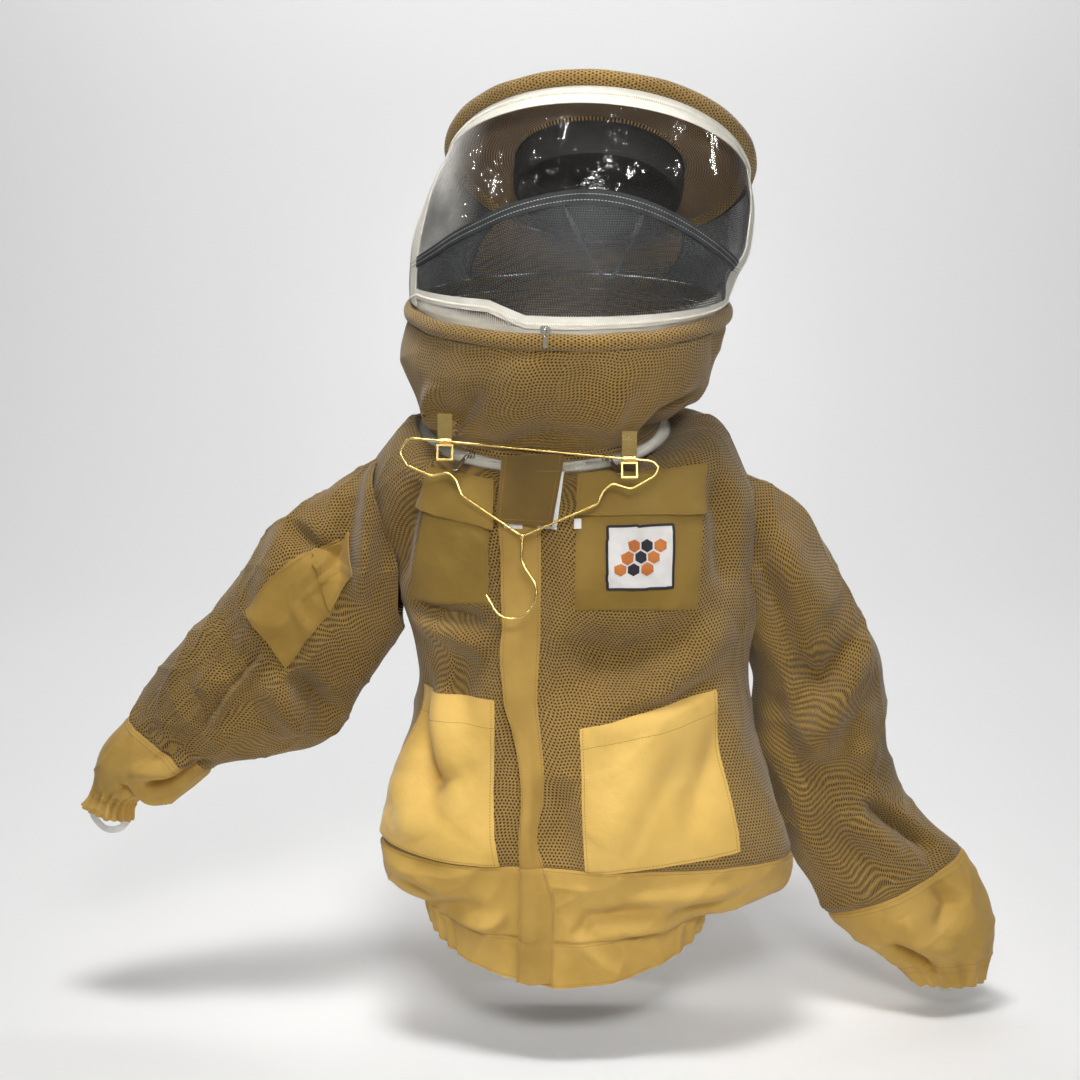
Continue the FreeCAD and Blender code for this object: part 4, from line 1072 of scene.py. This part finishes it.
def hood():
    u, t = around_grid(320, 0, 4.0, 150)
    sheet("hood_skirt_cloth", SKIRT, u, t, -MESH, 0, KHAKI, "hood", "mesh_cloth", ["hood_skirt"], closed=True,
          inside=HOOD_INSIDE_PAINTED_LIGHT)
    hoop_roll("lower_hoop_roll", LOW_HOOP, ["lower_hoop_cover"], 21)
    hoop_roll("upper_hoop_roll", TOP_HOOP, ["upper_hoop_cover"], 22)
    u, v = grid(139.5, 220.5, 90, 0.0, 1.0, 70)
    sheet("hood_back_cloth", VISOR, u, v, -MESH, 0, KHAKI, "hood", "mesh_cloth", ["hood_back"],
          inside=HOOD_INSIDE_PAINTED_LIGHT)
    for k, (a, b) in enumerate(((90.5, 139.6), (220.4, 269.5))):
        u, v = grid(a, b, 50, 0, 1, 50)
        sheet(f"side_screen_{k}", VISOR, u, v, -1.0, 0, SIDE_SCREEN, "hood", "black_screen",
              ["side_screens"] if k == 0 else [])
        for edge in (a, b):
            path = VISOR(np.full(80, edge), np.linspace(0, 1, 80), 0)
            tube(f"side_binding_{k}_{int(edge)}", path, 2.6, BLACK_TRIM, "hood", sides=8,
                 flat=0.5, up=(0, 0, 1))
    inner = TOP_HOOP["r"] - ROLL_R + 2
    a, r = grid(-180, 180, 240, HEAD_R, inner, 24)
    sag = 3.5 * np.sin((r - HEAD_R) / (inner - HEAD_R) * np.pi)
    sag = sag + 1.4 * np.sin(np.radians(a) * 7) * (r - HEAD_R) / 60
    over, under = ring_point(TOP_HOOP, a, r, 2 - sag), ring_point(TOP_HOOP, a, r, -2 - sag)
    shell("brim_cloth", over, under, KHAKI, "hood", "cotton_cloth", ["brim"], inside=HOOD_INSIDE_PAINTED_LIGHT)
    a, v = grid(-180, 180, 200, 0, 1, 60)
    wall = np.minimum(1, v / 0.45)
    top = np.clip((v - 0.45) / 0.55, 0, 1)
    radius = (HEAD_R - 22 * wall ** 1.5) * (1 - top) + 0.5
    height = CROWN_H * np.sin(wall * np.pi / 2) + 5 * np.sin(top * np.pi / 2)
    over = ring_point(TOP_HOOP, a, radius + 1, height - 2)
    under = ring_point(TOP_HOOP, a, radius - 2, height - 6)
    shell("crown_cloth", over, under, KHAKI, "hood", "mesh_cloth", ["crown"], inside=FOAM)
    a, h = grid(-180, 180, 220, -44, -3.5, 22)
    swell = 3.5 * np.sin((h + 44) / 40.5 * np.pi) ** 0.6
    outer = ring_point(TOP_HOOP, a, HEAD_R - 5 + swell, h)
    band = shell("headband_pad", outer, ring_point(TOP_HOOP, a, HEAD_R - 8 - swell, h), FOAM, "hood",
                 "head_foam", ["headband"])
    strap = [(-8, -96, 236), (12, -108, 196), (42, -116, 152), (66, -110, 186), (84, -100, 226)]
    s, v = grid(-6, 6, 5, 0, len(strap) - 1, 110)
    x, y, z = along(strap, v)
    twist = 0.5 * np.sin(v * 2.2)
    under = np.stack([x + s * np.sin(twist), y + s * np.cos(twist), z], -1)
    shell("chin_strap_band", under, under + np.array([0, 0, 1.4]), GREY, "hood", "grey_strap", ["chin_strap"])


def visor_strip(name, low, high, off, material, slot, nodes=(), nu=200, nv=30, half=VISOR_HALF - 12):
    """A piece of the visor between two heights, which low and high give for each angle."""
    a, s = grid(-half, half, nu, 0, 1, nv)
    v = low(a) + (high(a) - low(a)) * s
    return sheet(name, VISOR, a, v, *off, material, "hood", slot, nodes)


def visor():
    edge, seam = 0.052, 0.030  # height of the zip tape and half the binding's, as shares of the visor
    visor_strip("visor_screen_mesh", lambda a: lifted(a) + edge - 0.004,
                lambda a: binding_v(a) - seam + 0.004, (-0.8, -0.2), SCREEN, "black_screen", ["visor_screen"])
    visor_strip("screen_binding_band", lambda a: binding_v(a) - seam, lambda a: binding_v(a) + seam,
                (-1.2, 1.0), BLACK_TRIM, "black_binding", ["screen_binding"], nv=8)
    visor_strip("visor_window_film", lambda a: binding_v(a) + seam - 0.006,
                lambda a: 1 - edge + 0.004 + 0 * a, (-0.8, -0.3), WINDOW, "clear_window", ["visor_window"],
                nv=60)
    visor_strip("visor_tape_low", lifted, lambda a: lifted(a) + edge,
                (-1.2, 0.4), OFF_WHITE, "white_tape", ["visor_zip_tape"], nv=8, half=VISOR_HALF)
    visor_strip("visor_tape_top", lambda a: 1 - edge * 1.35 + 0 * a, lambda a: 1 + 0 * a,
                (-1.2, 0.4), OFF_WHITE, "white_tape", nv=12, half=VISOR_HALF)
    line = np.linspace(-VISOR_HALF, VISOR_HALF, 320)
    for key, v in (("low", lifted(line) + edge * 0.35), ("top", 1 - edge * 0.55 + 0 * line)):
        skin_stitches("visor_teeth_" + key, VISOR, line, v, 0.9, "hood", "white_tape", **teeth(2.4, 1.4, 1.9))
    for k, shift in enumerate((-0.012, 0.012)):
        skin_stitches(f"binding_stitch_{k}", VISOR, line, binding_v(line) + shift, 1.2, "hood",
                      "black_binding", material=GREY_THREAD, gap=3.6, long=2.6, wide=0.5)
    for key, side in (("right", -1), ("left", 1)):
        a, v = grid(side * (VISOR_HALF - 12.5), side * (VISOR_HALF + 6.5), 22, 0.02, 1.0, 80)
        if side < 0:
            a, v = a[::-1], v[::-1]
        sheet("visor_tape_side_" + key, VISOR, a, v, -1.2, 0.4, OFF_WHITE, "hood", "white_tape")
        skin_stitches("visor_teeth_side_" + key, VISOR, np.full(90, side * (VISOR_HALF + 3.0)),
                      np.linspace(0.04, 0.98, 90), 0.9, "hood", "white_tape", **teeth(2.4, 1.4, 1.9))
    ring_sheet("hoop_zip_piping", LOW_HOOP, 170.8, 173.6, 7.0, 13.8, -96, 96, OFF_WHITE, "white_tape",
               ["hoop_zip_tape"], wave=lambda a, s: 0.8 * np.sin(np.radians(a) * 11) * s)
    line = np.linspace(-95, 95, 300)
    out = ring_point(LOW_HOOP, line, 172, 20) - ring_point(LOW_HOOP, line, 172, 10)
    stitches("hoop_zip_teeth", ring_point(LOW_HOOP, line, 172.3, 14.2), out, "hood", "white_tape",
             **teeth(2.4, 1.4, 1.7))


# ---- Metal ----
RIGHT_SLIDER_ANGLE, LEFT_SLIDER_ANGLE, VISOR_SLIDER_ANGLE = -37, 30, -8


def at_ring(ring, angle, p):
    """Points made at a ring's front, in the ring's frame, turned to an angle and placed."""
    around = np.degrees(np.arctan2(p[..., 0], -p[..., 1]))
    return ring_point(ring, angle + around, np.hypot(p[..., 0], p[..., 1]), p[..., 2])


def plate(name, outline, thick, bevel, put, body, nodes=()):
    """A pressed plate with rounded rims: outline in x and z, thickness towards -Y; put places its points."""
    line, _ = resample([(x, 0, z) for x, z in outline + outline[:1]], 0.7)
    line = line[:-1]
    middle = line.mean(0)
    rings = []
    for depth, inset in ((0, bevel), (bevel * 0.3, bevel * 0.3), (bevel, 0), (thick - bevel, 0),
                         (thick - bevel * 0.3, bevel * 0.3), (thick, bevel), (thick, bevel * 2.5)):
        d = middle - line
        inward = d / np.maximum(np.linalg.norm(d, axis=1, keepdims=True), 1e-9)
        rings.append(line + inward * inset + np.array([0, -depth, 0]))
    n, m = len(line), len(rings)
    points = put(np.concatenate(rings))
    faces = [[i * n + j, i * n + (j + 1) % n, (i + 1) * n + (j + 1) % n, (i + 1) * n + j]
             for i in range(m - 1) for j in range(n)]
    faces += [list(range(n))[::-1], [(m - 1) * n + j for j in range(n)]]
    return make(name, points, faces, None, NICKEL, body, nodes, crease=40)


def rounded(w0, w1, low, high, corner=1.6):
    """Outline of a tapered tab, w0 wide at its low end and w1 at its high one, with cut corners."""
    right = [(w0 / 2 - corner, low), (w0 / 2, low + corner), (w1 / 2, high - corner), (w1 / 2 - corner, high)]
    return [(-w0 / 2 + corner, low)] + right + [(-x, z) for x, z in right[:0:-1]]


def zip_sliders():
    """Sliders with a shield, a second plate behind it, a bridge, and a pull with its eye."""
    places = (("neck_slider_right", NECK, RIGHT_SLIDER_ANGLE, -132.4, 4.0),
              ("neck_slider_left", NECK, LEFT_SLIDER_ANGLE, -132.4, 4.0),
              ("visor_slider", LOW_HOOP, VISOR_SLIDER_ANGLE, -187.2, 15.0))
    for name, ring, angle, y, z in places:
        def put(p, shift=0.0):
            return at_ring(ring, angle, p + np.array([0, y + shift, z]))

        plate(name + "_shield", rounded(8, 11, -5.5, 5), 1.3, 0.5, lambda p: put(p, -2.2), name, [name])
        plate(name + "_back", rounded(7, 10, -5.2, 4.8), 1.2, 0.4, put, name)
        arch = [(0, -3.3, -3.4), (0, -4.6, -2.8), (0, -5.2, 0), (0, -4.6, 2.8), (0, -3.3, 3.4)]
        path, _ = resample(arch, 0.5)
        tube(name + "_bridge", put(path), 0.8, NICKEL, name, sides=10, flat=1.6, up=(1, 0, 0))
    lean = math.radians(-68)

    def swing(p):
        x, y, z = p[..., 0], p[..., 1], p[..., 2]
        turned = (y * math.cos(lean) - z * math.sin(lean), y * math.sin(lean) + z * math.cos(lean))
        return np.stack([x, *turned], -1)

    for side, angle in (("right", RIGHT_SLIDER_ANGLE), ("left", LEFT_SLIDER_ANGLE)):
        def put_pull(p):
            return at_ring(NECK, angle, swing(p) + np.array([0, -138.4, 7]))

        body = "neck_pull_" + side
        plate(body + "_tab", rounded(6.6, 4.4, -28, -7), 1.5, 0.5,
              lambda p: put_pull(p + np.array([0, 0.8, 0])), body, [body])
        turn = np.linspace(0, 2 * np.pi, 25)[:-1]
        eye = np.stack([2.4 * np.sin(turn), 0 * turn, -4.6 + 3.6 * np.cos(turn)], -1)
        tube(body + "_eye", put_pull(eye), 0.75, NICKEL, body, sides=10, loop=True,
             up=put_pull(np.array([0.0, 1, 0])) - put_pull(np.zeros(3)))
    plate("visor_pull_tab", rounded(5.4, 3.8, -11, 2), 1.3, 0.4,
          lambda p: at_ring(LOW_HOOP, VISOR_SLIDER_ANGLE, p + np.array([0, -192.2, 8])), "visor_slider")


def metal():
    zip_sliders()
    finishes = {name: BRASS for name in ("hanger_frame", "hanger_hook", "clip_backs", "clip_front_right",
                                         "clip_front_left")}
    finishes.update(front_slider=NICKEL, hoop_wires=STEEL, hanging_loop=WHITE)
    for name, finish in finishes.items():
        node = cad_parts[name]
        node.data.materials.clear()
        node.data.materials.append(finish)


# ---- Stage: lengths in metres ----
CAMERA, CAMERA_AIM, FIELD_OF_VIEW = (-0.035, -2.1005, 0.1283), (-0.035, -0.12, -0.15), 35.063
VISOR_CENTRE, SMALL_DISTANCE, SMALL_POWER = (0.0, -0.2, 0.28), 2.5, 520
# Small lights mirrored in the visor: angle round it, angle up, width and height.
SMALL_LIGHTS = [(-14, 28, 0.06, 0.06), (-30, 22, 0.05, 0.05), (-44, 34, 0.06, 0.05), (-60, 20, 0.05, 0.05),
                (-76, 30, 0.06, 0.06), (-92, 16, 0.05, 0.05), (-108, 28, 0.06, 0.05), (-52, 8, 0.05, 0.06),
                (-84, 6, 0.05, 0.05), (-24, 40, 0.05, 0.06), (26, 22, 0.06, 0.40), (14, 34, 0.05, 0.16),
                (62, 24, 0.07, 0.14), (96, 18, 0.12, 0.30), (3, 24, 0.05, 0.10)]


def light(name, place, target, size, power, spread=180, diffuse=True):
    """A rectangular light in watts, unseen by the camera."""
    data = bpy.data.lights.new(name, "AREA")
    data.shape, data.size, data.size_y, data.energy = "RECTANGLE", size[0], size[1], power
    data.spread = math.radians(spread)
    obj = bpy.data.objects.new(name, data)
    obj.location = place
    obj.rotation_mode = "QUATERNION"
    obj.rotation_quaternion = (Vector(target) - Vector(place)).to_track_quat("-Z", "Y")
    obj.visible_camera, obj.visible_diffuse = False, diffuse
    bpy.context.scene.collection.objects.link(obj)


def sweep():
    """The floor, which curves up into a wall behind."""
    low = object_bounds()[0].z - 0.02
    curve, wall = 1.6, 4.2
    bend = np.radians(np.linspace(0, 90, 24))
    rise = zip(wall - curve + curve * np.sin(bend), low + curve * (1 - np.cos(bend)))
    profile = [(-10.0, low), *rise, (wall, 9.0)]
    points = [(x, y, z) for x in (-12.0, 12.0) for y, z in profile]
    n = len(profile)
    mesh = bpy.data.meshes.new("floor")
    mesh.from_pydata(points, [], [(n + k, n + k + 1, k + 1, k) for k in range(n - 1)])
    mesh.polygons.foreach_set("use_smooth", [True] * len(mesh.polygons))
    floor = bpy.data.objects.new("floor", mesh)
    bpy.context.scene.collection.objects.link(floor)
    mesh.materials.append(Shader("pale_floor", 0.9, Base_Color=(0.92, 0.92, 0.92, 1)).material)
    floor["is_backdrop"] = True


def stage():
    sweep()
    world = bpy.data.worlds.new("studio")
    world.use_nodes = True
    world.node_tree.nodes["Background"].inputs["Color"].default_value = (1, 1, 1, 1)
    world.node_tree.nodes["Background"].inputs["Strength"].default_value = 0.15
    bpy.context.scene.world = world
    light("key", (-0.2, -0.95, 2.25), (0, -0.15, -0.15), (0.8, 0.5), 48)
    light("pool", (0.05, -1.75, 0.55), (0.02, -0.25, -0.50), (0.5, 0.3), 1.6, spread=50)
    light("visor_fill", (0.0, -2.3, 0.55), (0.02, -0.12, 0.30), (0.3, 0.2), 0.5, spread=20)
    light("backdrop", (0, 1.4, 3.2), (0, 4.2, 0.9), (4.0, 0.8), 95)
    for k, (around, up, wide, high) in enumerate(SMALL_LIGHTS):
        a, e = math.radians(around), math.radians(up)
        way = Vector((math.sin(a) * math.cos(e), -math.cos(a) * math.cos(e), math.sin(e)))
        light(f"small_{k}", Vector(VISOR_CENTRE) + SMALL_DISTANCE * way, VISOR_CENTRE, (wide, high),
              SMALL_POWER * wide * high, diffuse=False)
    data = bpy.data.cameras.new("camera")
    data.sensor_width, data.angle = 36, math.radians(FIELD_OF_VIEW)
    data.clip_start, data.clip_end = 0.05, 60
    camera = bpy.data.objects.new("camera", data)
    camera.location = CAMERA
    camera.rotation_mode = "QUATERNION"
    camera.rotation_quaternion = (Vector(CAMERA_AIM) - Vector(CAMERA)).to_track_quat("-Z", "Y")
    bpy.context.scene.collection.objects.link(camera)
    bpy.context.scene.camera = camera
    bpy.context.scene.view_settings.view_transform = "Standard"


panels()
front_opening()
pockets()
neck_closure()
sleeves()
hood()
visor()
metal()
stage()
